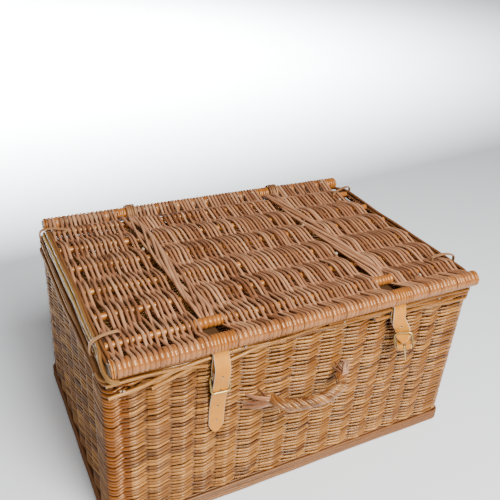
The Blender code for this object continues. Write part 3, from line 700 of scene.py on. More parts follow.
def lid_bands():
    """The bands of long rods that cross and twist loosely over the sticks."""
    for name, side in (("left", -1), ("right", 1)):
        bundle = Bundle()
        y = np.linspace(-0.1280, 0.1600, 90)
        count = 7
        for j in range(count):
            turns = rng.uniform(0.8, 1.05)
            theta = 2 * np.pi * (j / count + turns * (y + 0.14) / 0.30 * side)
            reach = 0.0088 + 0.0010 * np.sin(y * 31 + j)
            x = band_line(side, y) + reach * np.cos(theta)
            z = AXIS_Z + 0.0080 + 0.0019 * np.sin(theta)
            dip_front = np.clip((-0.108 - y) / 0.020, 0, 1) ** 2
            dip_back = np.clip((y - 0.138) / 0.022, 0, 1) ** 2
            x = x + (band_line(side, y) - x) * 0.25 * dip_front
            z = z - 0.0055 * dip_front - 0.0105 * dip_back
            radius = 0.0020 * rng.uniform(0.9, 1.15) * (1 - 0.15 * np.sin(y * 9 + j))
            bundle.rod(np.stack([x, y, z], 1), radius, tone=rng.uniform(0.35, 0.9), sides=10)
        bundle.piece(f"lid_band_rods_{name}", "lid", LID_WILLOW, "lid_willow", f"lid_band_{name}")


def edge_rod(bundle, x, z, radius, tone, wander, start, tail):
    """One rod along an end of the lid, from the back to the front."""
    middle = [
        (x + rng.normal(0, wander), y, AXIS_Z + z + rng.normal(0, wander - 0.0001))
        for y in np.linspace(0.135, -0.135, 7)
    ]
    path = [(a, b, AXIS_Z + c) for a, b, c in start] + middle
    path += [(a, b, AXIS_Z + c) for a, b, c in tail]
    bundle.rod(smooth(path, 8), radius, side=(0, 0, 1), tone=tone)


def lid_edges():
    """The rods along the lid's two ends. On the left, the front ends of two of them turn round the
    thick stick's end."""
    left = Bundle()
    for x, z, radius, tone, turns in (
        (-0.2465, 0.0040, 0.0020, 0.45, False),
        (-0.2505, 0.0048, 0.0022, 0.60, True),
        (-0.2538, 0.0012, 0.0021, 0.97, True),
        (-0.2500, 0.0004, 0.0021, 0.30, False),
        (-0.2540, -0.0034, 0.0020, 0.55, False),
        (-0.2495, -0.0038, 0.0019, 0.35, False),
    ):
        start = ((-0.2450, 0.1700, -0.0092), (-0.2480, 0.1600, -0.0045))
        tail = ((x + 0.002, -0.1540, z - 0.003), (-0.2450, -0.1640, -0.0100))
        if turns:
            tail = (
                (-0.2545, -0.1560, z - 0.003),
                (-0.2540, -0.1700, -0.0055 + z * 0.4),
                (-0.2500, -0.1775, -0.0098 + z * 0.4),
                (-0.2420, -0.1770, -0.0125),
            )
        edge_rod(left, x, z, radius, tone, 0.0005, start, tail)
    left.piece("lid_edge_rods_left", "lid", EDGE_WILLOW, "lid_willow", "lid_edge_left")
    right = Bundle()
    for x, z, radius, tone in (
        (0.2505, 0.0012, 0.0024, 0.40),
        (0.2470, -0.0026, 0.0020, 0.30),
        (0.2520, -0.0034, 0.0019, 0.50),
        (0.2480, -0.0070, 0.0020, 0.20),
        (0.2530, -0.0076, 0.0019, 0.35),
    ):
        start = ((0.2440, 0.1700, -0.0092), (0.2460, 0.1600, -0.0045))
        tail = ((x - 0.001, -0.1540, z - 0.002), (0.2460, -0.1650, -0.0098))
        edge_rod(right, x, z, radius, tone, 0.0006, start, tail)
    right.piece("lid_edge_rods_right", "lid", EDGE_WILLOW, "lid_willow", "lid_edge_right")


def lid_ties():
    """The thin loops that bind the edge rods, each a pair of skeins side by side."""
    for name, inner, outer, top in (
        ("back_left", (-0.2220, 0.1270), (-0.2590, 0.1400), 0.0104),
        ("front_left", (-0.2230, -0.1230), (-0.2590, -0.1310), 0.0104),
        ("back_right", (0.2080, 0.1120), (0.2562, 0.1330), 0.0106),
        ("front_right", (0.2180, -0.1180), (0.2562, -0.1220), 0.0104),
    ):
        bundle = Bundle()
        inner, outer = np.array(inner), np.array(outer)
        for shift in (-0.0011, 0.0011):
            controls = []
            for share, z in (
                (0.0, top - 0.008), (0.06, top - 0.001), (0.3, top), (0.6, top + 0.0004),
                (0.9, top - 0.0015), (1.0, top - 0.0058), (1.0, -0.0040), (0.9, -0.0082),
                (0.5, -0.0090), (0.2, -0.0085),
            ):
                x, y = inner + (outer - inner) * share
                bow = 0.0020 * math.sin(math.pi * share)
                controls.append((x, y + shift + bow, AXIS_Z + z))
            tone = rng.uniform(0.5, 0.9)
            bundle.rod(smooth(controls, 6), 0.0013, 0.0011, side=(0, 1, 0), tone=tone)
        bundle.piece(f"lid_tie_{name}_skeins", "lid", TIE_WILLOW, "lid_willow", f"lid_tie_{name}")


def lid_ends_of_rods():
    """Cut ends that stand out of the lid: a few large ones, and a row along the back stick."""
    bundle = Bundle()
    for x, y, lean in (
        (-0.147, 0.045, 0.4), (0.097, 0.035, 0.5), (0.099, -0.057, -0.2), (0.168, -0.145, 0.3),
        (0.205, 0.095, 0.2),
    ):
        base = np.array((x, y, AXIS_Z + 0.003))
        way = unit(np.array((lean, -0.5, 0.75)))
        bundle.rod([base, base + way * 0.004, base + way * 0.0085], 0.0021, tone=0.7)
    places, _ = spaced(-0.240, 0.225, 0.0125, 0.7)
    for x in places:
        angle = math.radians(rng.uniform(128, 150))
        out = np.array((0, math.cos(angle), math.sin(angle)))
        base = np.array((x, BACK.y, AXIS_Z)) + out * (WRAP_RADIUS - 0.002)
        bundle.rod([base, base + out * 0.0015, base + out * 0.0042], 0.0011, tone=0.7, sides=8)
    bundle.piece("lid_cut_ends", "lid", LID_WILLOW, "lid_willow")


def hull(points):
    """The convex outline of points in a plane, counter-clockwise."""
    points = sorted({(round(float(a), 7), round(float(b), 7)) for a, b in points})

    def half(sequence):
        chain = []
        for p in sequence:
            while len(chain) > 1:
                (ax, ay), (bx, by) = chain[-2], chain[-1]
                if (bx - ax) * (p[1] - ay) - (by - ay) * (p[0] - ax) > 1e-12:
                    break
                chain.pop()
            chain.append(p)
        return chain[:-1]

    return np.array(half(points) + half(points[::-1]))


def even(path, step):
    """The closed outline with its points this far apart."""
    closed = np.concatenate([path, path[:1]])
    along = lengths_along(closed)
    count = max(8, int(along[-1] / step))
    return points_at(closed, along, np.arange(count) * along[-1] / count)


def hinge_loops():
    """Four flat turns of weathered willow round the back stick and the body's border."""
    border_low, border_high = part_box("border_back")
    reach = 0.0018
    circle = [
        (BACK.y + (STICK_OUTER + reach) * math.cos(a), AXIS_Z + (STICK_OUTER + reach) * math.sin(a))
        for a in np.linspace(0, 2 * math.pi, 40, endpoint=False)
    ]
    for y, z in (
        (border_low.y, border_high.z),
        (border_low.y, border_low.z),
        (border_high.y, border_low.z),
    ):
        circle += [(y + reach * math.cos(a), z + reach * math.sin(a)) for a in np.linspace(0, 6, 12)]
    outline = even(hull(circle), 0.0022)
    for name in ("left", "right"):
        bundle = Bundle()
        low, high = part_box(f"hinge_loop_{name}")
        for x, width in zip(*spaced(low.x, high.x, 0.0036, 0.2), strict=True):
            slant = rng.uniform(-0.0008, 0.0008)
            z = outline[:, 1]
            path = np.stack([x + slant * (z - z.mean()) / 0.02, outline[:, 0], z], 1)
            bundle.rod(path, width / 2 * 1.04, 0.0014, tone=rng.random(), loop=True)
        bundle.piece(f"hinge_loop_skeins_{name}", "basket", TIE_WILLOW, "tie_willow", f"hinge_loop_{name}")


lid_panels()
lid_sticks()
lid_wraps()
lid_bands()
lid_edges()
lid_ties()
lid_ends_of_rods()
hinge_loops()

# ---- Body -----------------------------------------------------------------------------------


def loop_line(half_x, half_y, corner, step=None):
    """A closed line round the body with rounded corners: points, outward directions and, for each
    point, its place in stakes, counted round from the front left corner. Without a step, the
    points are the ones that matter to the weave: at each stake and midway to the next."""
    points, normals, places = [], [], []
    sides = (
        ((-1, -1), (1, -1), FRONT_STAKES, (0, -1)),
        ((1, -1), (1, 1), SIDE_STAKES, (1, 0)),
        ((1, 1), (-1, 1), FRONT_STAKES, (0, 1)),
        ((-1, 1), (-1, -1), SIDE_STAKES, (-1, 0)),
    )
    counted = 0
    for (ax, ay), (bx, by), stakes, normal in sides:
        along_x = ay == by
        reach = (half_x if along_x else half_y) - corner
        sign = (bx - ax) / 2 if along_x else (by - ay) / 2
        if sign < 0:
            stakes = [-x for x in stakes[::-1]]
        if step is None:
            marks = [t + d for t in stakes for d in (-0.0050, -0.0022, 0, 0.0022, 0.0050)]
            middles = [(a + b) / 2 for a, b in zip(stakes, stakes[1:], strict=False)]
            marks += [m + d for m in middles for d in (-0.0035, 0.0035)]
            t = np.array(sorted([-reach, *marks, reach]))
        else:
            t = np.linspace(-reach, reach, max(4, round(2 * reach / step)))
        known = np.array([-reach - 0.6 * corner, *stakes, reach + 0.6 * corner])
        index = np.arange(len(known)) - 0.5
        index[0], index[-1] = 0.0, len(stakes)
        place = np.interp(t, known, index) + counted
        for value, where in zip(t, place, strict=True):
            across = normal[1] * half_y if along_x else normal[0] * half_x
            points.append((sign * value, across) if along_x else (across, sign * value))
            normals.append(normal)
            places.append(where)
        counted += len(stakes)
        turn = 7
        centre = (bx * (half_x - corner), by * (half_y - corner))
        start = math.atan2(normal[1], normal[0])
        for i in range(1, turn):
            a = start + math.pi / 2 * i / turn
            points.append((centre[0] + corner * math.cos(a), centre[1] + corner * math.sin(a)))
            normals.append((math.cos(a), math.sin(a)))
            places.append(counted)
    return np.array(points), np.array(normals), np.array(places)


def make_walls():
    """The four woven walls as rows of rods that go in and out round the stakes, and the stakes.
    Towards the front left corner the top rows drop, and short rows fill the room above them. The
    rods of the front and left walls rise a little, towards the right on the front, where they pass
    outside a stake. The back and right walls have thicker rods, which leave smaller gaps."""
    half_x, half_y = OUTER_X - WALL_MIDDLE, OUTER_Y - WALL_MIDDLE
    points, normals, places = loop_line(half_x, half_y, WALL_CORNER)
    inside = np.abs(points) - (half_x - 0.022, half_y - 0.022)
    corner = np.clip(inside.min(axis=1) / 0.008, 0, 1)
    along = lengths_along(points)
    around = 2 * np.pi * along / (along[-1] + 0.0048)
    count = len(points)
    from_corner = np.abs(points - (-half_x, -half_y)).sum(axis=1)
    behind = np.maximum(points[:, 0] - half_x, points[:, 1] - half_y)
    hidden = np.clip(behind / 0.004 + 1.5, 0, 1)
    far = 1 + (HIDDEN_SIZE - 1) * hidden
    # reach sets how much taller the rods are outside the stakes, and how much painted shade they get
    # inside them.
    reach = np.interp(points[:, 0], (-0.05, 0.15), (0.20, 0.30)) * (1 - hidden)
    wrapped = corner * (points[:, 0] < 0)
    matt = np.where(points[:, 0] < -half_x + 0.0005, MATT_WALL, wrapped)
    tilt = np.interp(points[:, 0], (-0.26, -0.05, 0.26), (0.0002, 0.0008, 0.0015))
    tilt = tilt * (1 - corner) * (1 - hidden)
    slant = SLANT * np.clip(1 - from_corner / SLANT_REACH, 0, 1) ** 1.4
    rows = int((WEAVE_TOP - FOOT_TOP) / ROW_PITCH)
    total = len(FRONT_STAKES) * 2 + len(SIDE_STAKES) * 2
    knots = np.arange(total + 1)
    lean = rng.normal(0, 0.0013, total + 1) + 0.0006 * (-1.0) ** knots
    sag = rng.normal(0, 0.0008, (rows // 6 + 3, total + 1))
    bunch = rng.uniform(0, 2 * np.pi, total + 1)
    rough = np.where((knots > len(FRONT_STAKES)) & (knots < total - len(SIDE_STAKES)), 0.3, 1.0)
    groups = [Bundle() for _ in range(4)]
    for j in range(rows + 3):
        extra = max(0, j - rows + 1)
        z = FOOT_TOP + ROW_PITCH * (j - extra + 0.55)
        height = (z - FOOT_TOP) / (WEAVE_TOP - FOOT_TOP)
        shape = math.sin(math.pi * min(max(height, 0.03), 0.97)) ** 0.35
        row = j / 6
        local = sag[int(row)] * (1 - row % 1) + sag[int(row) + 1] * (row % 1)
        own = rng.normal(0, 0.00034, total + 1) + 0.00050 * np.sin(2 * np.pi * j / 3 + bunch)
        own = own * rough
        kinks = lean + local
        kinks[-1], own[-1] = kinks[0], own[0]
        at_stakes = np.concatenate([[kinks[-1]], kinks[:-1], [kinks[0]]])
        spread = np.interp(places, np.arange(total + 2) - 0.5, at_stakes)
        zs = z + spread * shape + np.interp(places, knots, own)
        share = height**3 * (1 - extra / 3.0)
        zs = zs - slant * share + tilt * np.sin(np.pi * (places - 0.5 + j))
        swing = WALL_SWING * (1 - corner)
        wave = STAKE_TURN * np.cos(np.pi * (places - 0.5 + j))
        outside = np.where(points[:, 0] < 0, 0.0024 if j % 2 else -0.0010, 0.0022)
        push = swing * np.arcsin(wave) / math.asin(STAKE_TURN) + outside * corner
        forward = np.clip(push / swing.max(), -1, 1)
        flat = points + normals * push[:, None]
        taper = far + 0.12 * np.sin(around * rng.integers(1, 4) + rng.uniform(0, 6))
        size = rng.uniform(0.90, 1.06) * taper
        splices = np.sort(rng.random(7) * count)
        tones = np.clip(rng.normal(0.5, 0.27, 8), 0, 1)
        tone = tones[np.searchsorted(splices, np.arange(count))]
        # Painted shade: where a rod passes inside a stake its tone drops below zero, nearly black in the
        # recess.
        tone = tone * (1 - 0.5 * wrapped) - 6.0 * reach * np.clip(-forward, 0, 1)
        path = np.concatenate([flat, zs[:, None]], 1)
        high = WALL_WEAVER * size * (1 + reach * forward)
        deep = WALL_WEAVER_DEPTH * size
        if not extra:
            group = groups[j * 4 // (rows + 3)]
            group.rod(path, high, deep, side=(0, 0, 1), tone=tone, gloss=matt, loop=True)
            continue
        near = np.nonzero(slant * extra / 3.0 > 0.0016)[0]
        order = np.concatenate([near[near > count // 2], near[near <= count // 2]])
        tone, gloss = tone[order][:-1], matt[order][:-1]
        groups[3].rod(path[order], high[order], deep[order], side=(0, 0, 1), tone=tone, gloss=gloss)
    walls = [f"wall_{s}" for s in SIDES]
    for number, (bundle, nodes) in enumerate(zip(groups, (walls, [], [], []), strict=True), start=1):
        bundle.piece(f"wall_weavers_{number}", "basket", BODY_WILLOW, "body_willow", *nodes)
    make_stakes(points, places, total, half_y)


def make_stakes(points, places, total, half_y):
    """The upright stakes along the middle of the walls, and the posts in the corners."""
    stakes = Bundle()
    for number, where in enumerate(np.arange(total) + 0.5):
        x = np.interp(where, places, points[:, 0])
        y = np.interp(where, places, points[:, 1])
        along_x = abs(abs(y) - half_y) < 1e-6
        z = np.linspace(FOOT_TOP - 0.001, BORDER_LOW.z + 0.002, 30)
        wobble = waves(number, 3, 0.05, 0.2, 0.0005)(z, 0)
        none = np.zeros_like(z)
        path = np.stack([x + (wobble if along_x else none), y + (none if along_x else wobble), z], 1)
        stakes.rod(path, STAKE, tone=rng.uniform(0.1, 0.6))
    for sx in (-1, 1):
        for sy in (-1, 1):
            z = np.linspace(FOOT_TOP, BORDER_LOW.z, 12)
            x = np.full_like(z, sx * (OUTER_X - CORNER_POST_IN))
            y = np.full_like(z, sy * (OUTER_Y - CORNER_POST_IN))
            stakes.rod(np.stack([x, y, z], 1), CORNER_POST, tone=0.1, sides=14)
    posts = [f"corner_post_{a}_{b}" for a in SIDES[:2] for b in SIDES[2:]]
    stakes.piece("wall_stakes", "basket", STAKE_WILLOW, "body_willow", *posts)


def laid_rods(bundle, outer_x, outer_y, low, high, layout, radius, seed, size):
    """Rods laid round the body in closed rings, at the places given across the rail's section."""
    drift = waves(seed, 6, 0.06, 0.3, size)
    for number, (inward, height, thickness) in enumerate(layout):
        corner = 0.0125 - 0.5 * inward
        points, normals, _ = loop_line(outer_x - inward, outer_y - inward, corner, 0.006)
        along = lengths_along(points)
        out = drift(along, number * 3.0)
        rise = drift(along + 5.0, number * 3.0)
        z = low + (high - low) * height + rise
        path = np.concatenate([points + normals * out[:, None], z[:, None]], 1)
        splices = np.sort(rng.random(5) * len(points))
        tones = rng.uniform(0.1, 0.7, 6)
        tone = tones[np.searchsorted(splices, np.arange(len(points)))]
        thick = radius * thickness * (1 + 0.14 * np.sin(along * 11 + number * 2))
        matt = np.where(points[:, 0] < -outer_x + 0.02, MATT_RIM, 0.0)
        bundle.rod(path, thick, side=(0, 0, 1), tone=tone, gloss=matt, loop=True, sides=10)


def make_border():
    """The rods laid round the rim, with their cut ends, and the ends that run on past the corner."""
    bundle = Bundle()
    low, high = BORDER_LOW.z, BORDER_HIGH.z
    layout = (
        (0.0040, 0.50, 0.95), (0.0036, 0.86, 0.95), (0.0080, 0.84, 1.0),
        (0.0131, 0.83, 1.0), (0.0133, 0.50, 1.0), (0.0131, 0.17, 1.0), (0.0080, 0.16, 1.0),
        (0.0080, 0.50, 1.0),
    )
    laid_rods(bundle, -BORDER_LOW.x, -BORDER_LOW.y, low, high, layout, 0.0025, 21, 0.0009)
    front = BORDER_LOW.y
    middle = (low + high) / 2
    for start, end, z_start, z_end, radius, tone in (
        (-0.1400, 0.0300, high - 0.0060, high - 0.0020, 0.0020, 0.70),
        (0.2200, -0.0300, low + 0.0050, high - 0.0030, 0.0020, 0.60),
        (0.0200, 0.2590, high - 0.0030, middle + 0.0030, 0.0024, 0.60),
        (0.0900, 0.2610, low + 0.0030, low - 0.0020, 0.0024, 0.70),
        (0.1400, 0.2580, low + 0.0020, low + 0.0060, 0.0021, 0.55),
    ):
        t = np.linspace(0, 1, 24)
        x = start + (end - start) * t
        y = front + 0.0020 - 0.0016 * np.sin(np.pi * t) + 0.0012 * np.sin(9 * t + start * 50)
        y = y + 0.9 * np.clip(x - 0.249, 0, 1)
        z = z_start + (z_end - z_start) * t + 0.0010 * np.sin(7 * t + end * 40)
        bundle.rod(np.stack([x, y, z], 1), radius * (1 - 0.2 * t), side=(0, 0, 1), tone=tone, sides=10)
    for radius, tone, *controls in (
        (
            0.0024, 0.95,
            (-0.251, 0.2190), (-0.217, 0.2230), (-0.183, 0.2320), (-0.150, 0.2370), (-0.100, 0.2400),
        ),
        (0.0022, 0.90, (-0.204, 0.2170), (-0.180, 0.2240), (-0.158, 0.2310)),
        (0.0022, 0.85, (-0.253, 0.2360), (-0.217, 0.2370), (-0.177, 0.2350), (-0.140, 0.2280)),
        (0.0023, 0.95, (-0.125, 0.2240), (-0.100, 0.2300), (-0.075, 0.2350), (-0.040, 0.2370)),
    ):
        path = [(x, front + 0.0012, z) for x, z in controls]
        bundle.rod(smooth(path, 8), radius, side=(0, 0, 1), tone=tone, sides=10)
    left = BORDER_LOW.x
    for start, end, z_start, z_end, radius, tone in (
        (0.1500, -0.1500, low + 0.0060, high - 0.0030, 0.0020, 0.35),
        (-0.1500, 0.1500, high - 0.0020, low + 0.0040, 0.0022, 0.25),
    ):
        t = np.linspace(0, 1, 24)
        y = start + (end - start) * t
        x = left + 0.0018 - 0.0016 * np.sin(np.pi * t)
        z = z_start + (z_end - z_start) * t + 0.0008 * np.sin(8 * t + end * 40)
        bundle.rod(np.stack([x, y, z], 1), radius, side=(0, 0, 1), tone=tone, gloss=MATT_RIM, sides=10)
    for x, z in (
        (-0.2390, -0.0015), (-0.2350, -0.0030), (-0.0930, 0.013), (0.0420, 0.012), (0.1950, 0.010),
    ):
        base = np.array((x, front + 0.002, low + z))
        way = unit(np.array((rng.uniform(-0.6, 0.6), -1.0, rng.uniform(-0.3, 0.3))))
        bundle.rod([base, base + way * 0.0012, base + way * 0.0026], 0.0015, tone=0.5, sides=10)
    edge = Bundle()
    rises = (0.0010, 0.0040, 0.0050, 0.0030, -0.0030)
    for tone, *controls in (
        (
            0.5,
            (-0.2535, 0.165), (-0.2560, 0.080), (-0.2572, -0.050), (-0.2562, -0.140), (-0.2535, -0.160),
        ),
        (
            0.4,
            (-0.2490, 0.165), (-0.2520, 0.050), (-0.2528, -0.080), (-0.2550, -0.140), (-0.2530, -0.158),
        ),
    ):
        path = [(x, y, high + rise) for (x, y), rise in zip(controls, rises, strict=True)]
        edge.rod(smooth(path, 8), 0.0021, side=(0, 0, 1), tone=tone, gloss=MATT_RIM, sides=10)
    edge.piece("border_edge_rods", "basket", EDGE_WILLOW, "body_willow")
    border = [f"border_{s}" for s in SIDES]
    bundle.piece("border_rods", "basket", BODY_WILLOW, "body_willow", *border)


def make_foot():
    """The rods laid round the foot."""
    bundle = Bundle()
    low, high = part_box("foot_front")
    layout = (
        (0.0024, 0.18, 1.0), (0.0024, 0.40, 1.0), (0.0024, 0.63, 1.0), (0.0026, 0.86, 1.0),
        (0.0072, 0.18, 1.0), (0.0072, 0.86, 1.0), (0.0072, 0.50, 1.5),
    )
    laid_rods(bundle, -low.x, -low.y, low.z, high.z, layout, 0.0023, 22, 0.0003)
    foot = [f"foot_{s}" for s in SIDES]
    bundle.piece("foot_rods", "basket", STAKE_WILLOW, "body_willow", *foot)


def make_base():
    """The woven bottom: rods across, in and out of sticks that run along X."""
    low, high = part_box("base_panel")
    middle = (low.z + high.z) / 2
    sticks = np.linspace(low.y + 0.02, high.y - 0.02, 7)
    bundle = Bundle()
    for y in sticks:
        path = [(x, y, middle) for x in (low.x, 0, high.x)]
        bundle.rod(path, 0.0036, side=(0, 1, 0), tone=0.5)
    places, _ = spaced(low.x, high.x, 0.0042, 0.2)
    y = np.linspace(low.y + 0.001, high.y - 0.001, 50)
    index = np.interp(y, sticks, np.arange(len(sticks)), left=-0.4, right=len(sticks) - 0.6)
    for j, x in enumerate(places):
        z = middle + 0.0046 * np.cos(np.pi * (index + j))
        path = np.stack([np.full_like(y, x), y, z], 1)
        bundle.rod(path, 0.0019, tone=rng.random(), sides=6)
    bundle.piece("base_weave", "basket", BODY_WILLOW, "body_willow", "base_panel")


make_walls()
make_border()
make_foot()
make_base()

# ---- Handle ---------------------------------------------------------------------------------


def joint_place(name):
    """The joint's position in the frame."""
    return next(j for j in frame["joints"] if j["name"] == name)["pos_m"]


def even_open(path, count):
    """The open line with this many evenly spaced points."""
    along = lengths_along(path)
    return points_at(path, along, np.linspace(0, along[-1], count))


def make_handle():
    """A bow of thin rods twisted into a rope."""
    pivot = joint_place("handle_swing")
    low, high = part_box("handle")
    half = (high.x - low.x) / 2 - 0.008
    bow = pivot[1] - low.y - 0.0078
    t = np.linspace(0, 1, 90)
    angle = np.pi * (1 - t)
    rise = np.sin(angle).clip(0, 1)
    x = pivot[0] + half * np.cos(angle) * 0.94
    centre = np.stack([x, pivot[1] - bow * rise**0.8, np.full_like(t, pivot[2])], 1)
    stub = np.array([[1, 0, 0]]) * 0.009
    centre = np.concatenate([centre[:1] - stub, centre, centre[-1:] + stub])
    centre = even_open(centre, 150)
    tangent = unit(np.gradient(centre, axis=0))
    up = np.array((0.0, 0.0, 1.0))
    out = np.cross(tangent, up)
    length = lengths_along(centre)
    share = length / length[-1]
    swell = np.sin(np.pi * share) ** 0.5
    bundle = Bundle()
    twist = np.interp(length, [0.0, 0.018, 0.045], [0.25, 0.45, 1.0])
    turned = np.concatenate([[0], np.cumsum(twist[1:] * np.diff(length))])
    for i in range(ROPE_STRANDS):
        for k in range(ROPE_THIN_RODS):
            phase = 2 * np.pi * i / ROPE_STRANDS + (k - 0.5) * 0.62 + rng.normal(0, 0.05)
            theta = phase - 2 * np.pi * turned / ROPE_PITCH
            reach = 0.0028 + 0.0022 * swell + 0.0004 * k
            path = centre + up * (reach * np.sin(theta))[:, None]
            path = path + out * (reach * np.cos(theta))[:, None]
            radius = (0.0015 + 0.0007 * swell) * rng.uniform(0.8, 1.15)
            tone = np.clip(rng.random() + 0.3 * np.sin(length * 60 + i), 0, 1)
            bundle.rod(path, radius, side=(0, 0, 1), tone=tone[:-1], gloss=0.2, sides=10)
    # A real core rod. Its dark tone is painted shade in the grooves between the strands.
    bundle.rod(centre, 0.0022 + 0.0016 * swell, side=(0, 0, 1), tone=0.1, sides=8)
    for _ in range(46):
        where = rng.integers(20, 140)
        theta = rng.uniform(-1.6, 1.6)
        outward = up * math.sin(theta) + out[where] * math.cos(theta)
        start = centre[where] + outward * 0.0060
        way = unit(tangent[where] * rng.uniform(-1, 1) + outward * 0.35 + up * rng.uniform(-0.3, 0.3))
        path = [start, start + way * 0.003, start + way * 0.006 + outward * 0.0006]
        bundle.rod(path, [0.0006, 0.0005, 0.0002], side=(0.3, 0.3, 1), tone=1.0, sides=5)
    bundle.piece("handle_rope", "handle", HANDLE_WILLOW, "handle_willow", "handle")


def make_roots():
    """What holds each end of the handle: rods that leave the rope and spread into the wall. On the
    right their ends are frayed."""
    pivot = joint_place("handle_swing")
    wall = -OUTER_Y
    fans = (
        ("left", -1, (
            (0.023, 0.004, 0.0031, 0.55), (0.028, -0.006, 0.0026, 0.15), (0.026, -0.014, 0.0024, 0.40),
            (0.016, -0.019, 0.0027, 0.95), (0.021, -0.010, 0.0022, 0.02), (0.007, 0.008, 0.0018, 0.05),
        )),
        ("right", 1, (
            # The three near-black rods on the right fan's left side are dark rods and, in part, painted
            # shade beside the fan.
            (-0.010, 0.009, 0.0020, 0.02), (-0.005, 0.013, 0.0021, 0.12), (-0.013, -0.003, 0.0019, 0.0),
            (0.004, 0.014, 0.0020, 0.90), (0.011, 0.006, 0.0020, 0.45), (0.012, -0.006, 0.0018, 0.8),
        )),
    )
    for name, sign, rods in fans:
        low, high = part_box(f"handle_root_{name}")
        x = (low.x + high.x) / 2
        roots = Bundle()
        for far, rise, radius, tone in rods:
            path = smooth(
                [
                    (x - sign * 0.0150, pivot[1] - 0.0080, pivot[2] + 0.12 * rise),
                    (x - sign * 0.0040, pivot[1] - 0.0040, pivot[2] + 0.30 * rise),
                    (x + sign * far * 0.15, pivot[1] - 0.0012, pivot[2] + 0.42 * rise),
                    (x + sign * far * 0.60, (pivot[1] + wall) / 2 - 0.0010, pivot[2] + 0.75 * rise),
                    (x + sign * far, wall + 0.0022, pivot[2] + 1.05 * rise),
                ],
                6,
            )
            taper = np.interp(np.arange(len(path)), [0, 12, len(path) - 1], [0.8, 1.25, 0.6])
            taper = radius * taper
            roots.rod(path, taper, taper * 0.6, side=(0, 0, 1), tone=tone, sides=10)
        for _ in range(22 if sign > 0 else 7):
            start = np.array((x + rng.uniform(-0.004, 0.005), pivot[1] - 0.003, pivot[2] + 0.004))
            if sign > 0:
                out, deep, rise = (-0.003, 0.013), 0.006, (0.009, 0.019)
            else:
                out, deep, rise = (0.004, 0.018), 0.004, (0.006, 0.018)
            tip = (
                x + sign * rng.uniform(*out),
                wall - rng.uniform(0.001, deep),
                pivot[2] + sign * rng.uniform(*rise),
            )
            middle = (start + tip) / 2 + rng.normal(0, 0.0012, 3)
            thick = np.linspace(0.0011, 0.0005, 9)
            tone = rng.uniform(0.75, 1.0)
            roots.rod(smooth([start, middle, tip], 4), thick, side=(0, 0.3, 1), tone=tone, sides=6)
        node = f"handle_root_{name}"
        roots.piece(f"handle_root_rods_{name}", "basket", ROOT_WILLOW, "tie_willow", node)


make_handle()
make_roots()

# ---- Straps and buckles ---------------------------------------------------------------------


class Hang:
    """How a strap hangs below the rim: it twists and leans smoothly down to z_end and keeps that
    attitude below it, where the buckle is."""

    def __init__(self, x, pivot_y, yaw, lean, z_start, z_end):
        self.pivot = Vector((x, pivot_y, z_start))
        self.yaw = math.radians(yaw)
        self.lean = math.radians(lean)
        self.z_start = z_start
        self.z_end = z_end

    def turn(self, share=1.0):
        return Matrix.Rotation(self.lean * share, 3, "Y") @ Matrix.Rotation(self.yaw * share, 3, "Z")

    def place(self, across, y, z):
        """The world position of a point given across the strap and in the YZ plane of its path."""
        share = min(max((self.z_start - z) / (self.z_start - self.z_end), 0.0), 1.0)
        share = share * share * (3 - 2 * share)
        local = Vector((across, y - self.pivot.y, z - self.pivot.z))
        return self.pivot + self.turn(share) @ local

    def matrix(self, y, z):
        """The matrix of a rigid piece that hangs at this place on the strap's path."""
        return Matrix.Translation(self.place(0.0, y, z)) @ self.turn().to_4x4()


def arc(centre, radius, start, end, steps):
    """Points on a circle in the YZ plane, as (y, z), between two angles in degrees from +Y."""
    return [
        (centre[0] + radius * math.cos(a), centre[1] + radius * math.sin(a))
        for a in np.radians(np.linspace(start, end, steps + 1))
    ]


def leather_section(width, thickness, flesh):
    """A strip's outline with softened corners, in halves of its size, and which faces are raw: its
    two edges and its flesh side, if it shows one."""
    soft = 0.0005
    a, b = soft / (width / 2), soft / (thickness / 2)
    quarter = ((1, 1 - b), (1 - 0.3 * a, 1 - 0.3 * b), (1 - a, 1))
    flat = ((0.6, 1), (0.2, 1))
    top = [*quarter, *flat, *((-x, y) for x, y in (*flat[::-1], *quarter[::-1]))]
    outline = [*top, *((-x, -y) for x, y in top)]
    raw = []
    for (x0, y0), (x1, y1) in zip(outline, outline[1:] + outline[:1], strict=True):
        raw.append(1.0 if min(abs(x0), abs(x1)) > 1 - 1.01 * a or (y0 + y1) * flesh > 0 else 0.0)
    return outline, raw


def strip(
    name, body, path, width, thickness, hang, node, tip=0.0, end_width=1.0, flesh=FLESH_SIDE
):
    """A leather strip along a path of (y, z), with a pointed end over the last tip metres."""
    path = even_flat(path, 0.0016)
    middle = np.array([hang.place(0.0, y, z) for y, z in path])
    across = np.array([hang.place(0.001, y, z) - hang.place(-0.001, y, z) for y, z in path])
    length = lengths_along(middle)
    left = length[-1] - length
    share = np.ones(len(path))
    if tip:
        near = left < tip
        share[near] = end_width + (1 - end_width) * np.sin(left[near] / tip * np.pi / 2)
    half = width / 2 * share * (1 + 0.008 * np.sin(length * 160))
    outline, raw = leather_section(width, thickness, flesh)
    bundle = Bundle()
    bundle.rod(middle, half, thickness / 2, side=across, tone=0.5, section=outline, edges=raw)
    return bundle.piece(name, body, LEATHER, "leather", node)


def even_flat(path, step):
    """A smooth line through the (y, z) points with its own points this far apart."""
    points = smooth([(*p, 0.0) for p in path], 6)
    count = max(8, int(lengths_along(points)[-1] / step))
    return even_open(points, count)[:, :2]


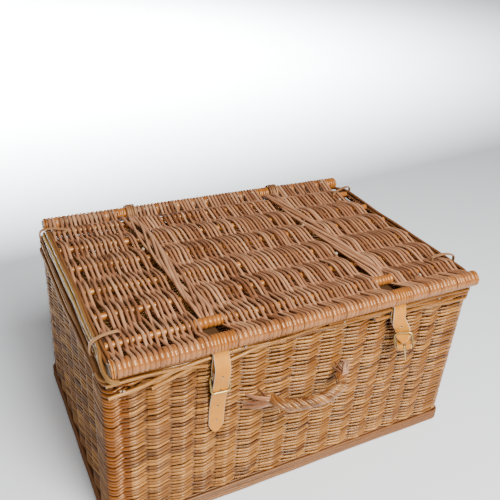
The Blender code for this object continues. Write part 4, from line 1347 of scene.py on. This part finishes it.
def pierce(piece, cutters):
    """Cuts the cutters out of the piece, marking the cut faces as raw, and removes them."""
    for cutter in cutters:
        modifier = piece.modifiers.new(cutter.name, "BOOLEAN")
        modifier.operation = "DIFFERENCE"
        modifier.solver = "EXACT"
        modifier.object = cutter
        attribute = cutter.data.attributes.new("cut", "FLOAT", "FACE")
        attribute.data.foreach_set("value", np.ones(len(cutter.data.polygons), np.float32))
        bpy.context.scene.collection.objects.link(cutter)
    bpy.context.view_layer.update()
    evaluated = piece.evaluated_get(bpy.context.evaluated_depsgraph_get())
    old = piece.data
    mesh = bpy.data.meshes.new_from_object(evaluated)
    piece.modifiers.clear()
    piece.data = mesh
    bpy.data.meshes.remove(old)
    for cutter in cutters:
        bpy.data.objects.remove(cutter)


def mesh_object(name, bm):
    """A new object with the bmesh's faces. The bmesh is freed."""
    mesh = bpy.data.meshes.new(name)
    bm.to_mesh(mesh)
    bm.free()
    return bpy.data.objects.new(name, mesh)


def hole_cutter(name, hang, place, direction, radius):
    """A cutter for a hole through the leather at (y, z), along a direction in the YZ plane."""
    axis = hang.turn() @ Vector((0, *direction))
    turn = Vector((0, 0, 1)).rotation_difference(axis).to_matrix().to_4x4()
    bm = bmesh.new()
    bmesh.ops.create_cone(
        bm, cap_ends=True, segments=20, radius1=radius, radius2=radius, depth=0.009,
        matrix=Matrix.Translation(hang.place(0.0, *place)) @ turn,
    )
    return mesh_object(name, bm)


def slot_cutter(name, hang, heel, size):
    """A cutter for the slot in a chape's turn that leaves the prong room."""
    bm = bmesh.new()
    bmesh.ops.create_cube(bm, size=1.0, matrix=hang.matrix(*heel) @ Matrix.Diagonal((*size, 1.0)))
    return mesh_object(name, bm)


def frame_directions(tilt, up):
    """Unit vectors in (y, z) from the heel bar to the front bar and out of the frame's face."""
    angle = math.radians(tilt)
    along = Vector((math.sin(angle), math.cos(angle))) * up
    outward = Vector((-math.cos(angle), math.sin(angle)))
    return along, outward


def moved(points, matrix):
    """The points after the matrix."""
    return np.array([matrix @ Vector(p) for p in points])


def make_buckle(side, hang, heel, tilt, up):
    """A brass wire frame with rounded corners and a heavier front bar, and its prong, whose eye
    turns on the heel bar and whose shank hangs straight down."""
    along, outward = frame_directions(tilt, up)
    half = BUCKLE_SPAN / 2
    outline = []
    for cx, cu, start in (
        (half - 0.0024, 0.0024, -90),
        (half - 0.0042, BUCKLE_REACH - 0.0042, 0),
        (-half + 0.0042, BUCKLE_REACH - 0.0042, 90),
        (-half + 0.0024, 0.0024, 180),
    ):
        corner = 0.0024 if cu < 0.003 else 0.0042
        for a in np.radians(np.linspace(start, start + 90, 7)):
            outline.append((cx + corner * math.cos(a), cu + corner * math.sin(a)))
    outline = even(np.array(outline), 0.0008)
    points = [(x, along.x * u, along.y * u) for x, u in outline]
    matrix = hang.matrix(*heel)
    heavy = np.clip((outline[:, 1] - 0.6 * BUCKLE_REACH) / (0.4 * BUCKLE_REACH), 0, 1)
    bundle = Bundle()
    side_way = tuple(matrix.to_3x3() @ Vector((0, *outward)))
    thick = WIRE + 0.0003 * heavy
    bundle.rod(moved(points, matrix), thick, WIRE, side=side_way, loop=True, sides=12)
    bundle.piece(f"buckle_frame_{side}", f"buckle_{side}", BRASS, "brass", f"buckle_{side}")
    down = hang.turn().inverted() @ Vector((0, 0, -1))
    down.x = 0
    down.normalize()
    start = math.atan2(down.z, down.y)
    eye = WIRE + 0.0011
    path = [
        (0.0009 * (i / 13 - 0.5), eye * math.cos(start + a), eye * math.sin(start + a))
        for i, a in enumerate(np.radians(np.linspace(-300, -12, 14)))
    ]
    for share in (0.2, 0.5, 0.8, 1.0):
        y, z = down.y * PRONG_LENGTH * share, down.z * PRONG_LENGTH * share
        path.append((0.0004 * (1 - share), y, z))
    bundle = Bundle()
    path = smooth(path, 3)
    last = len(path) - 1
    thick = np.interp(np.arange(len(path)), [0, last - 7, last], [0.00085, 0.0010, 0.0007])
    side_way = tuple(matrix.to_3x3() @ Vector((1, 0, 0)))
    bundle.rod(moved(path, matrix), thick, side=side_way, sides=10)
    bundle.piece(f"prong_wire_{side}", f"prong_{side}", BRASS, "brass", f"prong_{side}")


def make_chape(side, path, hang, heel):
    """A chape of leather, with the slot for the prong. Only its edges are raw."""
    name = f"chape_leather_{side}"
    node = f"chape_{side}"
    chape = strip(name, "basket", path, CHAPE_WIDTH, CHAPE_THICKNESS, hang, node, flesh=0)
    pierce(chape, [slot_cutter(f"slot_{side}", hang, heel, PRONG_SLOT)])


def make_strap(side, path, hang, tip, end_width):
    """A strap of leather with a pointed end, its holes not yet cut."""
    name = f"strap_leather_{side}"
    node = f"strap_{side}"
    return strip(name, "lid", path, STRAP_WIDTH, STRAP_THICKNESS, hang, node, tip, end_width)


def chape_top_path():
    """The chape's path from its inner tail over the border to the front of the rim."""
    reach = CHAPE_THICKNESS / 2 + GAP
    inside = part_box("border_front")[1].y
    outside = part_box("border_front")[0].y
    top = BORDER_HIGH.z + reach
    soft = 0.003
    return (
        [(inside + reach, BORDER_LOW.z - 0.001), (inside + reach, 0.2350)]
        + arc((inside + reach - soft, top - soft), soft, 0, 90, 3)
        + arc((outside - reach + soft, top - soft), soft, 90, 180, 3)
    )


def strap_top_path():
    """A strap's path from its inner end under the lid, below the front stick, to the rim's front."""
    under_lid = AXIS_Z - 0.0065 - STRAP_THICKNESS / 2 - 0.0005
    over_rim = BORDER_HIGH.z + CHAPE_THICKNESS + STRAP_THICKNESS / 2 + 2.4 * GAP
    front = BORDER_LOW.y - CHAPE_THICKNESS - 0.0031
    return (
        [(-0.0980, under_lid), (-0.1100, under_lid), (-0.1300, under_lid), (-0.1480, under_lid)]
        + [(-0.1550, under_lid - 0.0025), (-0.1600, over_rim)]
        + arc((front + STRAP_BEND, over_rim - STRAP_BEND), STRAP_BEND, 90, 180, 4)
    )


def heel_loop(heel, start, end):
    """The chape's turn round the heel bar, between two angles in the YZ plane."""
    return arc(heel, WIRE + GAP + CHAPE_THICKNESS / 2, start, end, 8)


def make_left_fastening():
    """The left buckle hangs from its heel bar: the strap lies over the bar and its tail goes
    behind the front bar and down the wall."""
    hang = Hang(STRAP_X["left"], -0.1740, yaw=-5, lean=0, z_start=0.2300, z_end=0.2180)
    heel = (-0.1708, 0.2110)
    reach = WIRE + GAP + CHAPE_THICKNESS / 2
    path = (
        chape_top_path()
        + [(-0.1697, 0.2340), (-0.1694, 0.2290), (heel[0] + reach, 0.2220)]
        + heel_loop(heel, 0, -180)
        + [(heel[0] - reach, heel[1] + 0.0085)]
    )
    make_chape("left", path, hang, heel)
    fall = [
        (-0.1745, 0.2395), (-0.1785, 0.2310), (-0.1800, 0.2220), (-0.1787, 0.2120),
        (-0.1765, 0.2030), (-0.1745, 0.1935), (-0.1722, 0.1840), (-0.1690, 0.1700),
        (-0.1676, 0.1560), (-0.1674, 0.1400), (-0.1674, 0.1240),
    ]
    strap = make_strap("left", strap_top_path() + fall, hang, 0.014, 0.25)
    holes = (
        ((-0.1797, 0.2180), 0),
        ((-0.1747, 0.1945), -12),
        ((-0.1683, 0.1655), -8),
        ((-0.1674, 0.1420), 0),
    )
    cutters = []
    for number, (place, slope) in enumerate(holes):
        direction = (math.cos(math.radians(slope)), math.sin(math.radians(slope)))
        cutters.append(hole_cutter(f"hole_left_{number}", hang, place, direction, HOLE_RADIUS))
    pierce(strap, cutters)
    make_buckle("left", hang, heel, 20, up=-1)


def make_right_fastening():
    """The right buckle stands on its heel bar, twisted and leaning towards the wall: the strap
    goes behind the front bar and its pointed end lies in the frame."""
    hang = Hang(STRAP_X["right"], -0.1820, yaw=-32, lean=-16, z_start=0.2290, z_end=0.2080)
    tilt = 28
    heel = Vector((-0.1883, 0.1880))
    along, outward = frame_directions(tilt, up=1)
    front_bar = heel + along * BUCKLE_REACH
    behind_bar = WIRE + 1.5 * GAP + STRAP_THICKNESS / 2
    behind_strap = STRAP_THICKNESS / 2 + 1.5 * GAP + CHAPE_THICKNESS / 2
    strap_at_bar = front_bar - outward * behind_bar
    chape_at_bar = front_bar - outward * (behind_bar + behind_strap)
    path = (
        chape_top_path()
        + [(-0.1696, 0.2310), (-0.1705, 0.2260), (-0.1722, 0.2190), (-0.1737, 0.2110)]
        + [tuple(chape_at_bar), tuple(heel + along * 0.0060 - outward * 0.0030)]
        + heel_loop(heel, -tilt, -tilt - 180)
        + [tuple(heel + along * 0.0035 + outward * (WIRE + GAP + CHAPE_THICKNESS / 2))]
    )
    make_chape("right", path, hang, heel)
    path = strap_top_path() + [
        (-0.1746, 0.2340),
        (-0.1757, 0.2240),
        (-0.1764, 0.2140),
        tuple(strap_at_bar),
        tuple(heel + along * 0.0125 - outward * 0.0010),
        tuple(heel + along * 0.0062 + outward * 0.0018),
    ]
    strap = make_strap("right", path, hang, 0.011, 0.3)
    pierce(strap, [hole_cutter("hole_right", hang, (-0.1763, 0.2145), (1, 0.08), HOLE_RADIUS)])
    make_buckle("right", hang, heel, tilt, up=1)


make_left_fastening()
make_right_fastening()
for rivet in ("chape_rivet_left", "chape_rivet_right", "strap_rivet_left", "strap_rivet_right"):
    frame["nodes"][rivet].data.materials[0] = BRASS

# ---- Stage ----------------------------------------------------------------------------------

CAMERA_PLACE = (-0.365, -0.651, 0.6695)
CAMERA_ANGLES = (-29.006, 28.744, 4.283)  # azimuth, elevation and roll, in degrees
LENS = 44.19


def look(azimuth, elevation, roll):
    """The camera's rotation matrix. Azimuth 0 looks along +Y."""
    a, e, r = (math.radians(v) for v in (azimuth, elevation, roll))
    back = Vector((math.sin(a) * math.cos(e), -math.cos(a) * math.cos(e), math.sin(e)))
    right = Vector((0, 0, 1)).cross(back).normalized()
    up = back.cross(right)
    turned_right = right * math.cos(r) + up * math.sin(r)
    turned_up = up * math.cos(r) - right * math.sin(r)
    return Matrix((turned_right, turned_up, back)).transposed()


def make_camera():
    data = bpy.data.cameras.new("camera")
    data.sensor_width = 36.0
    data.lens = LENS
    camera = bpy.data.objects.new("camera", data)
    turn = look(*CAMERA_ANGLES).to_4x4()
    camera.matrix_world = Matrix.Translation(CAMERA_PLACE) @ turn
    bpy.context.scene.collection.objects.link(camera)
    bpy.context.scene.camera = camera


def make_floor():
    bm = bmesh.new()
    bmesh.ops.create_grid(bm, x_segments=1, y_segments=1, size=30.0)
    floor = mesh_object("floor", bm)
    floor.location.z = cad_bounds[0][2] - 0.0002
    s = Shader("floor")
    s.base.inputs["Base Color"].default_value = (0.86, 0.90, 0.94, 1.0)
    s.base.inputs["Roughness"].default_value = 0.7
    floor.data.materials.append(s.material)
    bpy.context.scene.collection.objects.link(floor)


def make_light(name, place, target, size, power, colour):
    data = bpy.data.lights.new(name, "AREA")
    data.shape = "RECTANGLE"
    data.size, data.size_y = size
    data.energy = power
    data.color = colour
    light = bpy.data.objects.new(name, data)
    light.location = place
    aim = Vector(target) - Vector(place)
    light.rotation_euler = aim.to_track_quat("-Z", "Y").to_euler()
    bpy.context.scene.collection.objects.link(light)


def make_world():
    world = bpy.data.worlds.new("world")
    world.use_nodes = True
    background = world.node_tree.nodes["Background"]
    background.inputs["Color"].default_value = (0.97, 0.98, 1.0, 1.0)
    background.inputs["Strength"].default_value = 0.29
    bpy.context.scene.world = world


make_camera()
make_floor()
make_world()
make_light("key", (0.40, -2.10, 1.55), (0, 0, 0.2), (1.00, 0.80), 88.0, (1.0, 0.965, 0.92))
make_light("top", (0.10, -1.00, 1.75), (0, 0, 0.2), (1.10, 0.80), 50.0, (1.0, 0.98, 0.95))
make_light("backdrop", (-0.7, 2.2, 1.9), (-1.0, 4.3, 0.0), (3.4, 1.6), 3200.0, (0.98, 0.99, 1.0))
